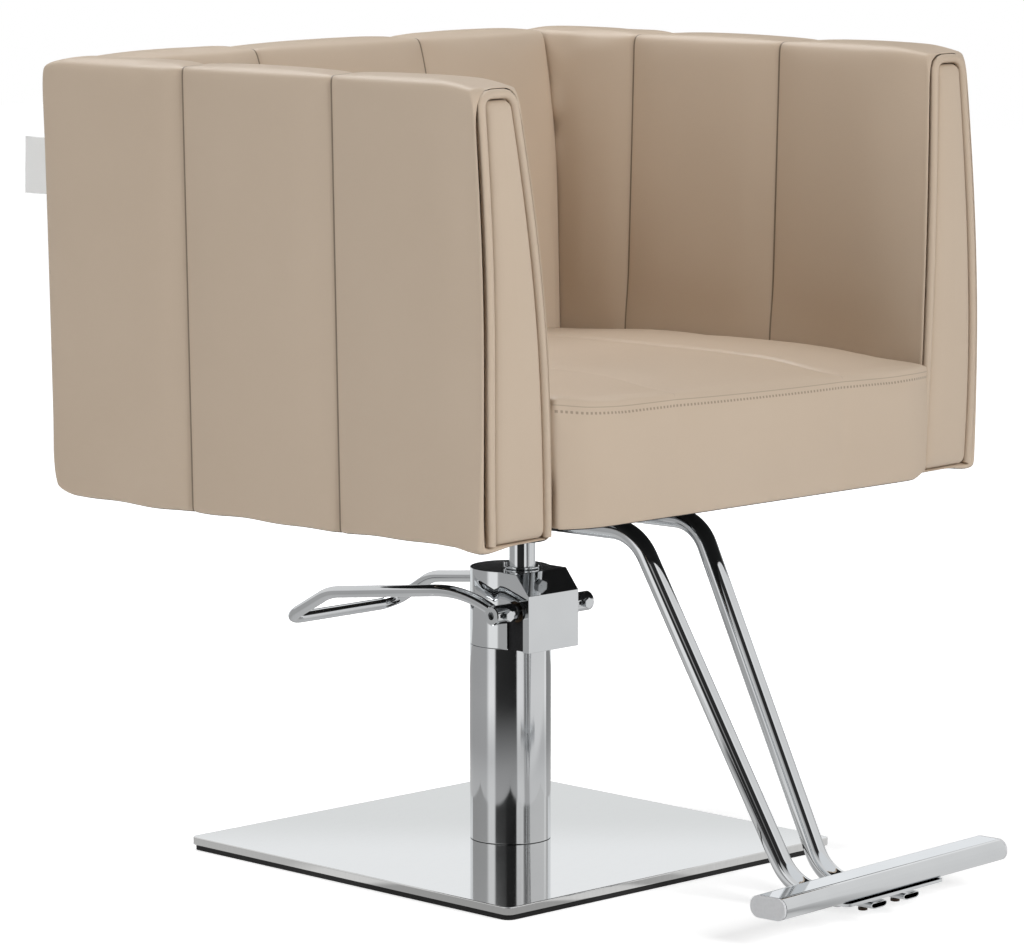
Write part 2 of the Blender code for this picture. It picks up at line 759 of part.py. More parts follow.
for name, side in (("left", -1), ("right", 1)):
    sleeve_bore = SHAFT_RADIUS + GAP
    sleeve = turned(
        f"{name}_pedal_sleeve",
        [
            (SLEEVE_RADIUS - SLEEVE_EDGE, SLEEVE_OUTER),
            (SLEEVE_RADIUS, SLEEVE_OUTER - SLEEVE_EDGE),
            (SLEEVE_RADIUS, SLEEVE_INNER),
            (sleeve_bore, SLEEVE_INNER),
            (sleeve_bore, SHAFT_HALF + GAP),
            (SLEEVE_END_HOLE, SHAFT_HALF + GAP),
            (SLEEVE_END_HOLE, SLEEVE_OUTER),
        ],
        CHROME,
        hinge,
        sides=MEDIUM_SIDES,
    )
    sleeve.rotation_euler = (0, side * math.pi / 2, 0)
    cut(sleeve, bar(CLAMP_BOLT_RADIUS + GAP, -2 * SLEEVE_RADIUS, 0, "Y", (0, 0, CLAMP_BOLT_AT), SMALL_SIDES))
    bolt_tip = -SLEEVE_RADIUS + CLAMP_BOLT_DEPTH
    bolt_spot = (side * CLAMP_BOLT_AT, 0, 0)
    cut(shaft, bar(CLAMP_BOLT_RADIUS + GAP, -2 * SLEEVE_RADIUS, bolt_tip, "Y", bolt_spot, SMALL_SIDES))
    clamp = bolt(
        f"{name}_clamp_bolt",
        CLAMP_HEAD_RADIUS,
        CLAMP_HEAD_HEIGHT,
        CLAMP_BOLT_RADIUS,
        CLAMP_BOLT_DEPTH,
        CHROME,
        hinge,
    )
    clamp.location = (side * CLAMP_BOLT_AT, -SLEEVE_RADIUS - GAP, 0)
    clamp.rotation_euler = (-math.pi / 2, 0, 0)

spread = (PEDAL_END_HALF - PEDAL_ROOT_HALF) / PEDAL_TIP.y
half_pedal = [
    Vector((PEDAL_ROOT_HALF + spread * point.y, point.y, point.z))
    for point in (Vector((0, 0, 0)), PEDAL_CREST, PEDAL_KNEE, PEDAL_TIP)
]
mirrored = [Vector((-point.x, point.y, point.z)) for point in half_pedal]
pedal_corners = mirrored + half_pedal[::-1]
pedal_bends = [PEDAL_CREST_BEND, PEDAL_KNEE_BEND, PEDAL_CORNER_BEND]
pedal_points = rounded_path(pedal_corners, pedal_bends + pedal_bends[::-1])
pedal_shape = shape_of(path_curve("pedal", pedal_points, PEDAL_ROD_RADIUS, PEDAL_SIDES, True))
pedal = solid("pedal_lever", pedal_shape, CHROME, hinge)
for side in (-1, 1):
    middle = side * (SLEEVE_INNER + SLEEVE_OUTER) / 2
    reach = SLEEVE_OUTER - SLEEVE_INNER
    cut(pedal, bar(SLEEVE_RADIUS + GAP, -reach, reach, "X", (middle, 0, 0), MEDIUM_SIDES))

# Plunger and its return spring

cam_bottom = SHAFT_HEIGHT - CAM_RADIUS
plunger_top = cam_bottom - GAP
plunger_foot = deck - PLUNGER_ENGAGED
turned(
    "pump_plunger",
    [
        (0, plunger_top),
        (PLUNGER_HEAD_RADIUS, plunger_top),
        (PLUNGER_HEAD_RADIUS, plunger_top - PLUNGER_HEAD_HEIGHT),
        (PLUNGER_RADIUS, plunger_top - PLUNGER_HEAD_HEIGHT),
        (PLUNGER_RADIUS, plunger_foot),
        (0, plunger_foot),
    ],
    STEEL,
    plunger_slide,
    hollow=False,
    sides=MEDIUM_SIDES,
)

spring_low = deck + GAP + SPRING_WIRE
spring_high = plunger_top - PLUNGER_HEAD_HEIGHT - GAP - SPRING_WIRE
spring_count = SPRING_TURNS * SPRING_POINTS
spring_points = [
    Vector((
        SPRING_RADIUS * math.cos(math.tau * index / SPRING_POINTS),
        SPRING_RADIUS * math.sin(math.tau * index / SPRING_POINTS),
        spring_low + (spring_high - spring_low) * index / spring_count,
    ))
    for index in range(spring_count + 1)
]
spring_shape = shape_of(path_curve("spring", spring_points, SPRING_WIRE, SPRING_SIDES, True))
spring = solid("plunger_spring", spring_shape, STEEL, base)
spring.location = plunger_slide.location
apart = min(
    (one - other).length
    for index, one in enumerate(spring_points)
    for other in spring_points[index + SPRING_POINTS // 2:]
)
print(f"plunger spring: least gap to itself {1000 * (apart - 2 * SPRING_WIRE):.2f} mm")

# Piston, seal, rod and nut

piston_top = PISTON_BOTTOM + PISTON_HEIGHT
groove_low = PISTON_BOTTOM + (PISTON_HEIGHT - SEAL_WIDTH) / 2
groove_high = groove_low + SEAL_WIDTH
piston_radius = CYLINDER_BORE - RUNNING
groove_radius = piston_radius - SEAL_DEPTH
spigot_bore = SPIGOT_RADIUS + GAP
turned(
    "piston",
    [
        (piston_radius, piston_top),
        (piston_radius, groove_high),
        (groove_radius, groove_high),
        (groove_radius, groove_low),
        (piston_radius, groove_low),
        (piston_radius, PISTON_BOTTOM),
        (spigot_bore, PISTON_BOTTOM),
        (spigot_bore, piston_top),
    ],
    STEEL,
    lift,
    sides=SIDES,
)
turned(
    "piston_seal",
    [
        (piston_radius, groove_high - GAP),
        (piston_radius, groove_low + GAP),
        (groove_radius + GAP, groove_low + GAP),
        (groove_radius + GAP, groove_high - GAP),
    ],
    RUBBER,
    lift,
    sides=SIDES,
)

web_low = UPPER_RUN_HEIGHT + TUBE_RADIUS + GAP
hub_top = web_low - GAP
rod_top = hub_top - HUB_ROOF - GAP
nut_low = PISTON_BOTTOM - GAP - NUT_HEIGHT
turned(
    "piston_rod",
    [
        (0, rod_top),
        (ROD_RADIUS, rod_top),
        (ROD_RADIUS, piston_top + GAP),
        (SPIGOT_RADIUS, piston_top + GAP),
        (SPIGOT_RADIUS, nut_low),
        (0, nut_low),
    ],
    CHROME,
    seat,
    hollow=False,
)
nut = solid("rod_nut", bar(NUT_RADIUS, nut_low, PISTON_BOTTOM - GAP, sides=HEX_SIDES), STEEL, seat)
cut(nut, bar(spigot_bore, 0, PISTON_BOTTOM + NUT_HEIGHT, sides=SIDES))

# Swivel hub, seat bracket and its bolts

hub_low = hub_top - HUB_LENGTH
hub_bore = ROD_RADIUS + GAP
turned(
    "swivel_hub",
    [
        (0, hub_top),
        (HUB_FLANGE_RADIUS, hub_top),
        (HUB_FLANGE_RADIUS, hub_top - HUB_FLANGE_HEIGHT),
        (HUB_RADIUS, hub_top - 2 * HUB_FLANGE_HEIGHT),
        (HUB_RADIUS, hub_low + HUB_EDGE),
        (HUB_RADIUS - HUB_EDGE, hub_low),
        (hub_bore, hub_low),
        (hub_bore, hub_top - HUB_ROOF),
        (0, hub_top - HUB_ROOF),
    ],
    BLACK_STEEL,
    seat,
    hollow=False,
)

flange_high = SEAT_BOTTOM - GAP
web_middle = web_low + BRACKET_THICK / 2
flange_middle = flange_high - BRACKET_THICK / 2
flange_inner = WEB_HALF_WIDTH + BRACKET_WALL_SPREAD
flange_outer = flange_inner + FLANGE_WIDTH
hat = bmesh.new()
hat_profile = [
    (-flange_outer, flange_middle),
    (-flange_inner, flange_middle),
    (-WEB_HALF_WIDTH, web_middle),
    (WEB_HALF_WIDTH, web_middle),
    (flange_inner, flange_middle),
    (flange_outer, flange_middle),
]
hat_verts = [hat.verts.new((x, -BRACKET_FRONT, z)) for x, z in hat_profile]
hat_edges = [hat.edges.new(pair) for pair in zip(hat_verts, hat_verts[1:])]
grown = bmesh.ops.extrude_edge_only(hat, edges=hat_edges)
moved = [part for part in grown["geom"] if isinstance(part, bmesh.types.BMVert)]
bmesh.ops.translate(hat, verts=moved, vec=(0, BRACKET_FRONT + BRACKET_REAR, 0))
bracket = solid("seat_bracket", hat, STEEL, seat)
sheet = bracket.modifiers.new("sheet", "SOLIDIFY")
sheet.thickness = BRACKET_THICK
sheet.offset = 0
sheet.use_even_offset = True

bracket_bolt_x = flange_inner + FLANGE_WIDTH / 2
bracket_spots = [
    (side * bracket_bolt_x, y) for side in (-1, 1) for y in (-BRACKET_BOLT_FRONT, BRACKET_BOLT_REAR)
]
bracket_seat = flange_high - BRACKET_THICK - GAP
bolt_hole = BOLT_RADIUS + GAP
bolt_end = SEAT_BOTTOM + BRACKET_BOLT_BITE
for number, (x, y) in enumerate(bracket_spots, 1):
    cut(bracket, bar(bolt_hole, web_low, bolt_end, at=(x, y, 0), sides=SMALL_SIDES))
    fixing = bolt(
        f"bracket_bolt_{number}",
        BOLT_HEAD_RADIUS,
        BOLT_HEAD_HEIGHT,
        BOLT_RADIUS,
        bolt_end - bracket_seat,
        STEEL,
        seat,
    )
    fixing.location = (x, y, bracket_seat)

# Footrest tubes, hollow, with crimped lower ends, and the bolts through their upper runs

lower_run_height = BAR_PLATE_BOTTOM - GAP - CRIMP_HALF_HEIGHT
footrest_bolt_seat = UPPER_RUN_HEIGHT - TUBE_RADIUS - GAP


def crimp(point, x_middle):
    """Flattens and dents the tube's lower end where the bar is screwed to it."""
    share = ramp(-point.y, CRIMP_START, CRIMP_FADE)
    across = point.x - x_middle
    up = point.z - lower_run_height
    dent = CRIMP_DENT * (1 - (across / TUBE_RADIUS) ** 2) if up > 0 else 0.0
    point.x = x_middle + across * (1 + (CRIMP_SPREAD - 1) * share)
    point.z = lower_run_height + up * (1 + (CRIMP_HALF_HEIGHT / TUBE_RADIUS - 1) * share) - dent * share


for name, side in (("left", -1), ("right", 1)):
    upper_x = side * UPPER_HALF_SPACING
    lower_x = side * LOWER_HALF_SPACING
    lower_corner = Vector((lower_x, -LOWER_CORNER_SET, lower_run_height))
    tube_corners = [
        Vector((upper_x, UPPER_RUN_END, UPPER_RUN_HEIGHT)),
        Vector((upper_x, -UPPER_CORNER_SET, UPPER_RUN_HEIGHT)),
        lower_corner,
        Vector((lower_x, -LOWER_RUN_END, lower_run_height)),
    ]
    tube_points = rounded_path(tube_corners, [UPPER_BEND, LOWER_BEND])
    crimp_start = Vector((lower_x, -CRIMP_START, lower_run_height))
    crimp_middle = crimp_start - Vector((0, CRIMP_FADE / 2, 0))
    crimp_full = crimp_start - Vector((0, CRIMP_FADE, 0))
    tube_points[-1:-1] = [crimp_start, crimp_middle, crimp_full]
    tube_shape = shape_of(path_curve("tube", tube_points, TUBE_RADIUS, TUBE_SIDES, False))
    for vert in tube_shape.verts:
        crimp(vert.co, lower_x)
    tube = solid(f"{name}_footrest_tube", tube_shape, CHROME, seat)
    wall = tube.modifiers.new("wall", "SOLIDIFY")
    wall.thickness = TUBE_WALL
    wall.offset = -1
    for spot, y in (("front", -FOOTREST_BOLT_FRONT), ("rear", FOOTREST_BOLT_REAR)):
        at = (upper_x, y, 0)
        cut(tube, bar(bolt_hole, footrest_bolt_seat - GAP, web_low, at=at, sides=SMALL_SIDES))
        cut(bracket, bar(bolt_hole, web_low - GAP, web_low + 2 * BRACKET_THICK, at=at, sides=SMALL_SIDES))
        length = web_low + BRACKET_THICK - footrest_bolt_seat
        fixing = bolt(
            f"{name}_{spot}_footrest_bolt",
            BOLT_HEAD_RADIUS,
            BOLT_HEAD_HEIGHT,
            BOLT_RADIUS,
            length,
            STEEL,
            seat,
        )
        fixing.location = (upper_x, y, footrest_bolt_seat)
    screw_at = (lower_x, -BAR_SCREW_SET, 0)
    cut(tube, bar(BAR_SCREW_RADIUS + GAP, -TUBE_RADIUS, BAR_PLATE_BOTTOM, at=screw_at, sides=SMALL_SIDES))

# Footrest bar, its end caps, the plate under it and the screws

bar_bottom = BAR_PLATE_BOTTOM + BAR_PLATE_THICK + GAP
bar_middle = bar_bottom + BAR_HEIGHT / 2
bar_half = BAR_LENGTH / 2 - BAR_CAP_THICK
lay_along_x = Matrix.Translation((0, -BAR_SET, bar_middle)) @ turn_to_x
rest = solid(
    "footrest_bar",
    shape_of(outline_curve("bar", oval(BAR_DEPTH, BAR_HEIGHT, BAR_ROUND), 2 * (bar_half - GAP)), lay_along_x),
    CHROME,
    seat,
)
inner_oval = oval(BAR_DEPTH - 2 * BAR_WALL, BAR_HEIGHT - 2 * BAR_WALL, BAR_ROUND - BAR_WALL)
cut(rest, shape_of(outline_curve("bore", inner_oval, 2 * BAR_LENGTH), lay_along_x))

for name, side in (("left", -1), ("right", 1)):
    face_place = Matrix.Translation((side * (bar_half + BAR_CAP_THICK / 2), 0, 0)) @ lay_along_x
    cap_outline = oval(BAR_DEPTH, BAR_HEIGHT, BAR_ROUND)
    cap_shape = shape_of(outline_curve("cap", cap_outline, BAR_CAP_THICK), face_place)
    cap = solid(f"{name}_bar_cap", cap_shape, GREY_PLASTIC, seat)
    fit = BAR_WALL + GAP
    plug_oval = oval(BAR_DEPTH - 2 * fit, BAR_HEIGHT - 2 * fit, BAR_ROUND - fit)
    plug_middle = side * (bar_half + BAR_CAP_THICK / 2 - BAR_PLUG_LENGTH / 2)
    plug_place = Matrix.Translation((plug_middle, 0, 0)) @ lay_along_x
    join(cap, shape_of(outline_curve("plug", plug_oval, BAR_PLUG_LENGTH), plug_place))

plate_front = -BAR_SET - BAR_PLATE_DEPTH / 2
plate_rear = -BAR_SET + BAR_PLATE_DEPTH / 2
plate_top = BAR_PLATE_BOTTOM + BAR_PLATE_THICK
plate_half = BAR_PLATE_LENGTH / 2
plate_shape = slab(plate_half, plate_front, plate_rear, BAR_PLATE_BOTTOM, plate_top, BAR_PLATE_CORNER)
under_plate = solid("footrest_plate", plate_shape, STEEL, seat)
crimp_bottom = lower_run_height - CRIMP_HALF_HEIGHT
for name, side in (("left", -1), ("right", 1)):
    screw_at = (side * LOWER_HALF_SPACING, -BAR_SCREW_SET, 0)
    hole = BAR_SCREW_RADIUS + GAP
    cut(under_plate, bar(hole, 0, bar_bottom, at=screw_at, sides=SMALL_SIDES))
    cut(rest, bar(hole, 0, bar_bottom + 2 * BAR_WALL, at=screw_at, sides=SMALL_SIDES))
    screw_length = bar_bottom + 2 * BAR_WALL - crimp_bottom
    fixing = bolt(
        f"{name}_bar_screw",
        BAR_SCREW_HEAD_RADIUS,
        BAR_SCREW_HEAD_HEIGHT,
        BAR_SCREW_RADIUS,
        screw_length,
        STEEL,
        seat,
        SMALL_SIDES,
    )
    fixing.location = (screw_at[0], screw_at[1], crimp_bottom - GAP)

# Lines of the padded shell


def between(low, high, height):
    """A shell line's place at a height, from its places at the shell's bottom and top."""
    return low + (high - low) * (height - SHELL_BOTTOM) / (SHELL_TOP - SHELL_BOTTOM)


def arm_inner(height):
    """The half width of the space between the arms."""
    return between(ARM_INNER_BOTTOM, ARM_INNER_TOP, height)


def arm_outer(height):
    """The half width over the arms."""
    return between(ARM_OUTER_BOTTOM, ARM_OUTER_TOP, height)


def back_inner(height):
    """Where the back's front face stands."""
    return between(BACK_INNER_BOTTOM, BACK_INNER_TOP, height)


def shell_rear(height):
    """Where the shell's rear face stands."""
    return between(SHELL_REAR, SHELL_REAR + REAR_LEAN, height)


def channel(place, seams, low, high):
    """How far the padding stands out: a crown between seams, and a sewn line drawn in at each."""
    if any(abs(place - seam) < GAP for seam in seams):
        return -SEAM_DEPTH
    lines = [low, *seams, high]
    for first, second in zip(lines, lines[1:]):
        if first <= place <= second:
            return PANEL_CROWN * math.sin(math.pi * (place - first) / (second - first))
    return 0.0


def panel_cuts(low, high, seams):
    """Cage planes: beside the ends and the seams, on the seams, and mid panel."""
    lines = [low, *seams, high]
    places = [low + EDGE_SUPPORT, high - EDGE_SUPPORT]
    for seam in seams:
        places += [seam - SEAM_SUPPORT, seam, seam + SEAM_SUPPORT]
    places += [(first + second) / 2 for first, second in zip(lines, lines[1:])]
    return sorted(places)


shell_levels = [SHELL_BOTTOM + EDGE_SUPPORT, CROWN_START, CROWN_FULL, SHELL_TOP - EDGE_SUPPORT]

# Seat board

board_half = arm_inner(SEAT_BOTTOM) - GAP
board_rear = back_inner(SEAT_BOTTOM) - GAP
board_top = SEAT_BOTTOM + BOARD_THICK
board_shape = box((-board_half, -BOARD_FRONT, SEAT_BOTTOM), (board_half, board_rear, board_top))
board = solid("seat_board", board_shape, PLYWOOD, seat)
for x, y in bracket_spots:
    cut(board, bar(bolt_hole, web_low, bolt_end + GAP, at=(x, y, 0), sides=SMALL_SIDES))

# Seat cushion, drawn over the front of the board

cushion_ref = arm_inner(SEAT_BOTTOM)
cushion_rear_ref = back_inner(SEAT_BOTTOM)
cushion_levels = [CUSHION_BOTTOM + EDGE_SUPPORT, CUSHION_EDGE_TOP - EDGE_SUPPORT]
cushion_x = [-cushion_ref + EDGE_SUPPORT, cushion_ref - EDGE_SUPPORT, 0]
for seam in CUSHION_SEAMS:
    cushion_x += [seam - SEAM_SUPPORT, seam, seam + SEAM_SUPPORT, 2 * seam]
cushion_y = [-CUSHION_FRONT + EDGE_SUPPORT, *CUSHION_ROWS, cushion_rear_ref - EDGE_SUPPORT]
cushion_shape = cage(
    (-cushion_ref, -CUSHION_FRONT, CUSHION_BOTTOM),
    (cushion_ref, cushion_rear_ref, CUSHION_EDGE_TOP),
    (sorted(cushion_x), cushion_y, cushion_levels),
)
for vert in cushion_shape.verts:
    point = vert.co
    if point.z > CUSHION_EDGE_TOP - GAP:
        crown = CUSHION_CROWN * math.cos(math.pi / 2 * point.x / cushion_ref)
        fall = CUSHION_FRONT_DROP * (1 - ramp(point.y, -CUSHION_FRONT, CUSHION_FALL_LENGTH))
        seam = CUSHION_SEAM_DEPTH if any(abs(point.x - line) < GAP for line in CUSHION_SEAMS) else 0.0
        point.z += crown - fall - seam
    point.x *= (arm_inner(min(point.z, CUSHION_EDGE_TOP)) - GAP) / cushion_ref
    if point.y > 0:
        point.y *= (back_inner(min(point.z, CUSHION_EDGE_TOP)) - GAP) / cushion_rear_ref
cushion = pad("seat_cushion", cushion_shape, LEATHER, seat)
beyond = 2 * cushion_ref
cut(cushion, box((-beyond, -BOARD_FRONT - GAP, 0), (beyond, beyond, board_top + GAP)))

# Arms

arm_length_middle = (SHELL_REAR - ARM_FRONT) / 2
arm_half_length = (SHELL_REAR + ARM_FRONT) / 2


def arm_shape(side):
    """An arm's cage: leaning faces, three channels outside, inside and over the top."""
    shape = cage(
        (0, -ARM_FRONT, SHELL_BOTTOM),
        (1, SHELL_REAR, SHELL_TOP),
        (WALL_FOLDS, panel_cuts(-ARM_FRONT, SHELL_REAR, ARM_SEAMS), shell_levels),
    )
    for vert in shape.verts:
        across, y, z = vert.co
        swell = channel(y, ARM_SEAMS, -ARM_FRONT, SHELL_REAR)
        inner = arm_inner(z)
        outer = arm_outer(z)
        x = inner + (outer - inner) * across
        if across == 1:
            x += swell
        if across == 0:
            x -= swell * ramp(z, CROWN_START, CROWN_RISE) * (1 if y < ARM_CROWN_END else 0)
        if z > SHELL_TOP - GAP:
            z += swell
        skew = SEAM_SKEW * (1 - across) * (1 - ((y - arm_length_middle) / arm_half_length) ** 2)
        share = (y + ARM_FRONT) / (2 * arm_half_length)
        lean = between(0, FRONT_RAKE, vert.co.z) * (1 - share) + between(0, REAR_LEAN, vert.co.z) * share
        vert.co = (side * x, y + skew + lean, z)
    if side < 0:
        bmesh.ops.reverse_faces(shape, faces=shape.faces)
    return shape


def front_outline(side, inset, foot, radius):
    """The line round an arm's front panel, from the outer foot over the top to the inner foot, as (x, z)."""
    head = SHELL_TOP - POCKET_TOP_LIP - inset
    outer = POCKET_OUTER_LIP + inset
    inner = POCKET_INNER_LIP + inset
    corners = [
        Vector((arm_outer(foot) - outer, foot, 0)),
        Vector((arm_outer(head) - outer, head, 0)),
        Vector((arm_inner(head) + inner, head, 0)),
        Vector((arm_inner(foot) + inner, foot, 0)),
    ]
    return [(side * point.x, point.y) for point in rounded_path(corners, [radius, radius], PANEL_STEP)]


rake = FRONT_RAKE / (SHELL_TOP - SHELL_BOTTOM)
lean_back = Matrix(((1, 0, 0, 0), (0, 1, rake, -rake * SHELL_BOTTOM), (0, 0, 1, 0), (0, 0, 0, 1)))
stand_up = Matrix.Rotation(math.pi / 2, 4, "X")
pocket_floor = -ARM_FRONT + POCKET_DEPTH
for name, side in (("left", -1), ("right", 1)):
    arm = pad(f"{name}_arm", arm_shape(side), LEATHER, seat)
    pocket_thick = 3 * POCKET_DEPTH
    pocket_place = lean_back @ Matrix.Translation((0, pocket_floor - pocket_thick / 2, 0)) @ stand_up
    pocket_points = front_outline(side, 0, SHELL_BOTTOM - POCKET_DEPTH, POCKET_ROUND)
    cut(arm, shape_of(outline_curve("pocket", pocket_points, pocket_thick), pocket_place))

    pipe_foot = SHELL_BOTTOM + 2 * PIPING_RADIUS
    pipe_inset = GAP + PIPING_RADIUS
    pipe_y = pocket_floor - GAP - PIPING_RADIUS
    pipe_line = front_outline(side, pipe_inset, pipe_foot, POCKET_ROUND - pipe_inset)
    pipe_points = [lean_back @ Vector((x, pipe_y, z)) for x, z in pipe_line]
    pipe_shape = shape_of(path_curve("pipe", pipe_points, PIPING_RADIUS, PIPING_SIDES, True))
    solid(f"{name}_arm_piping", pipe_shape, PIPED_LEATHER, seat)

    panel_inset = 2 * (GAP + PIPING_RADIUS)
    panel_points = front_outline(side, panel_inset, pipe_foot, PANEL_ROUND)
    panel_thick = POCKET_DEPTH - GAP
    panel_place = lean_back @ Matrix.Translation((0, pocket_floor - GAP - panel_thick / 2, 0)) @ stand_up
    panel = solid(
        f"{name}_arm_front",
        shape_of(outline_curve("panel", panel_points, panel_thick), panel_place),
        LEATHER,
        seat,
    )
    soften(panel, PANEL_EDGE)

# Back, between the arms

back_ref = arm_inner(SHELL_TOP)
back_shape = cage(
    (-back_ref, 0, SHELL_BOTTOM),
    (back_ref, 1, SHELL_TOP),
    (panel_cuts(-back_ref, back_ref, BACK_SEAMS), WALL_FOLDS, shell_levels),
)
for vert in back_shape.verts:
    x, across, z = vert.co
    swell = channel(x, BACK_SEAMS, -back_ref, back_ref)
    inner = back_inner(z)
    outer = shell_rear(z)
    y = inner + (outer - inner) * across
    if across == 1:
        y += swell
    if across == 0:
        y -= swell * ramp(z, CROWN_START, CROWN_RISE)
    top = z + swell if z > SHELL_TOP - GAP else z
    vert.co = (x * (arm_inner(z) - GAP) / back_ref, y, top)
bmesh.ops.recalc_face_normals(back_shape, faces=back_shape.faces)
pad("back_pad", back_shape, LEATHER, seat)

# Blank tag sewn into the rear left edge

tag_x = -arm_outer(TAG_MIDDLE) + TAG_INSET
tag_y = shell_rear(TAG_MIDDLE) + GAP
tag_low = (tag_x - TAG_THICK / 2, tag_y, TAG_MIDDLE - TAG_HEIGHT / 2)
tag_high = (tag_x + TAG_THICK / 2, tag_y + TAG_LENGTH, TAG_MIDDLE + TAG_HEIGHT / 2)
solid("sewn_tag", box(tag_low, tag_high), WHITE_CLOTH, seat)
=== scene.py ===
"""The salon chair as it stands in a bright studio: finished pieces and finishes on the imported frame."""

import json
import math

import bmesh
import bpy
from mathutils import Matrix, Vector

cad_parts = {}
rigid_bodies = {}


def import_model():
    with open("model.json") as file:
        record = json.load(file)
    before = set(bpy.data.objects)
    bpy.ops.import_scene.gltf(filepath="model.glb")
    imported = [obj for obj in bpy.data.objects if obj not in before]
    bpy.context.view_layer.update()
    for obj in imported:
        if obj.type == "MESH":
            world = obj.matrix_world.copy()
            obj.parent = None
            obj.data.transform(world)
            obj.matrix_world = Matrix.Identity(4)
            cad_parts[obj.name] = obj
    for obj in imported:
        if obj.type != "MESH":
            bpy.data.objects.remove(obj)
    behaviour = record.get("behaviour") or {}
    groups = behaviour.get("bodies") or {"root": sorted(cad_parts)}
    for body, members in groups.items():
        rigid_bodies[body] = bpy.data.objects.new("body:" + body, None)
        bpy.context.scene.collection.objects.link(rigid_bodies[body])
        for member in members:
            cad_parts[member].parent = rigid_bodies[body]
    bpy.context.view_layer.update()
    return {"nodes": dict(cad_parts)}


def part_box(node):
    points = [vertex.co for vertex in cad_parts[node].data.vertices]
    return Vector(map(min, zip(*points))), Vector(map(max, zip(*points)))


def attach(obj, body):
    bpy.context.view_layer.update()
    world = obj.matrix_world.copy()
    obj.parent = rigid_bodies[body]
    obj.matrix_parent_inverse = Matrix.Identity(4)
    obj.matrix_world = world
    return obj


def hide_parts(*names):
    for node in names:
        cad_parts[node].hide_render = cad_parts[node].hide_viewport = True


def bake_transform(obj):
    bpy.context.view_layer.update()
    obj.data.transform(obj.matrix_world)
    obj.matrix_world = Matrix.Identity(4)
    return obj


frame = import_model()
nodes = frame["nodes"]
scene = bpy.context.scene
scene.view_settings.view_transform = "Standard"

# Camera. A long lens about five metres away, to the front and left of the chair and a little
# above its seat, looking slightly down.
camera_data = bpy.data.cameras.new("camera")
camera_data.sensor_width = 36
camera_data.lens = 182.8125
camera = bpy.data.objects.new("camera", camera_data)
scene.collection.objects.link(camera)
camera.location = (-3.8156, -3.2958, 1.0953)
camera.rotation_euler = Vector((0.74793, 0.64863, -0.14102)).to_track_quat("-Z", "Y").to_euler()
scene.camera = camera


# Studio. A white floor under an even white sky, lit by three soft lamps. Polished metal sees pale and
# dark bands round the studio, a low white card behind the chair and, of the lamps, the top one only.
class Wire:
    """One socket in a node tree. Sums on wires add Math nodes, and node() adds any other node."""

    def __init__(self, socket):
        self.socket = socket

    def node(self, kind, settings, sockets, output=0):
        """Adds a node: its settings first, then the values or wires of its sockets."""
        tree = self.socket.id_data
        made = tree.nodes.new("ShaderNode" + kind)
        for name, value in settings.items():
            if name == "stops":
                for _ in value[2:]:
                    made.color_ramp.elements.new(1.0)
                for stop, (place, shade) in zip(made.color_ramp.elements, value):
                    stop.position = place
                    stop.color = shade
            else:
                setattr(made, name, value)
        for key, value in sockets.items():
            if isinstance(value, Wire):
                tree.links.new(value.socket, made.inputs[key])
            else:
                made.inputs[key].default_value = value
        return Wire(made.outputs[output])

    def maths(self, operation, first, second):
        return self.node("Math", {"operation": operation}, {0: first, 1: second})

    def __add__(self, other):
        return self.maths("ADD", self, other)

    def __radd__(self, other):
        return self.maths("ADD", other, self)

    def __sub__(self, other):
        return self.maths("SUBTRACT", self, other)

    def __rsub__(self, other):
        return self.maths("SUBTRACT", other, self)

    def __mul__(self, other):
        return self.maths("MULTIPLY", self, other)

    def __rmul__(self, other):
        return self.maths("MULTIPLY", other, self)

    def __abs__(self):
        return self.maths("ABSOLUTE", self, 0.0)

    def limit(self, low, high):
        """This wire from 0 at low to 1 at high, eased and held at both ends."""
        return self.node(
            "MapRange",
            {"interpolation_type": "SMOOTHSTEP"},
            {"Value": self, "From Min": low, "From Max": high},
        )

    def blend(self, low, high):
        """The colour low where this wire is 0, and high where it is 1."""
        return self.node("Mix", {"data_type": "RGBA"}, {0: self, 6: low, 7: high}, 2)

    def feed(self, shader, socket):
        self.socket.id_data.links.new(self.socket, shader.inputs[socket])


def colour(red, green, blue):
    """A colour as a screen shows it, 0 to 255, for a shader."""
    parts = [part / 255 for part in (red, green, blue)]
    linear = [part / 12.92 if part <= 0.04045 else ((part + 0.055) / 1.055) ** 2.4 for part in parts]
    return (*linear, 1.0)


def add(name, operator, **how):
    """Adds a primitive, the only thing selected, at its size and place, and names it."""
    bpy.ops.object.select_all(action="DESELECT")
    operator(**how)
    piece = bpy.context.active_object
    piece.name = name
    bpy.ops.object.transform_apply(location=True, rotation=True, scale=True)
    return piece


floor = add("studio_floor", bpy.ops.mesh.primitive_plane_add, size=16, location=(0, 0, -0.0005))
card_place = Vector((0.566, 0.492, 0.22))
card_length = 1.5
card_height = 0.34
card = add(
    "reflector_card",
    bpy.ops.mesh.primitive_plane_add,
    size=1,
    location=card_place,
    rotation=(math.radians(90), 0, math.radians(-49)),
)
wider = Matrix.Translation(card_place) @ Matrix.Diagonal((card_length, card_length, card_height, 1.0))
card.data.transform(wider @ Matrix.Translation(-card_place))
card.visible_camera = False
card.visible_diffuse = False
card.visible_shadow = False


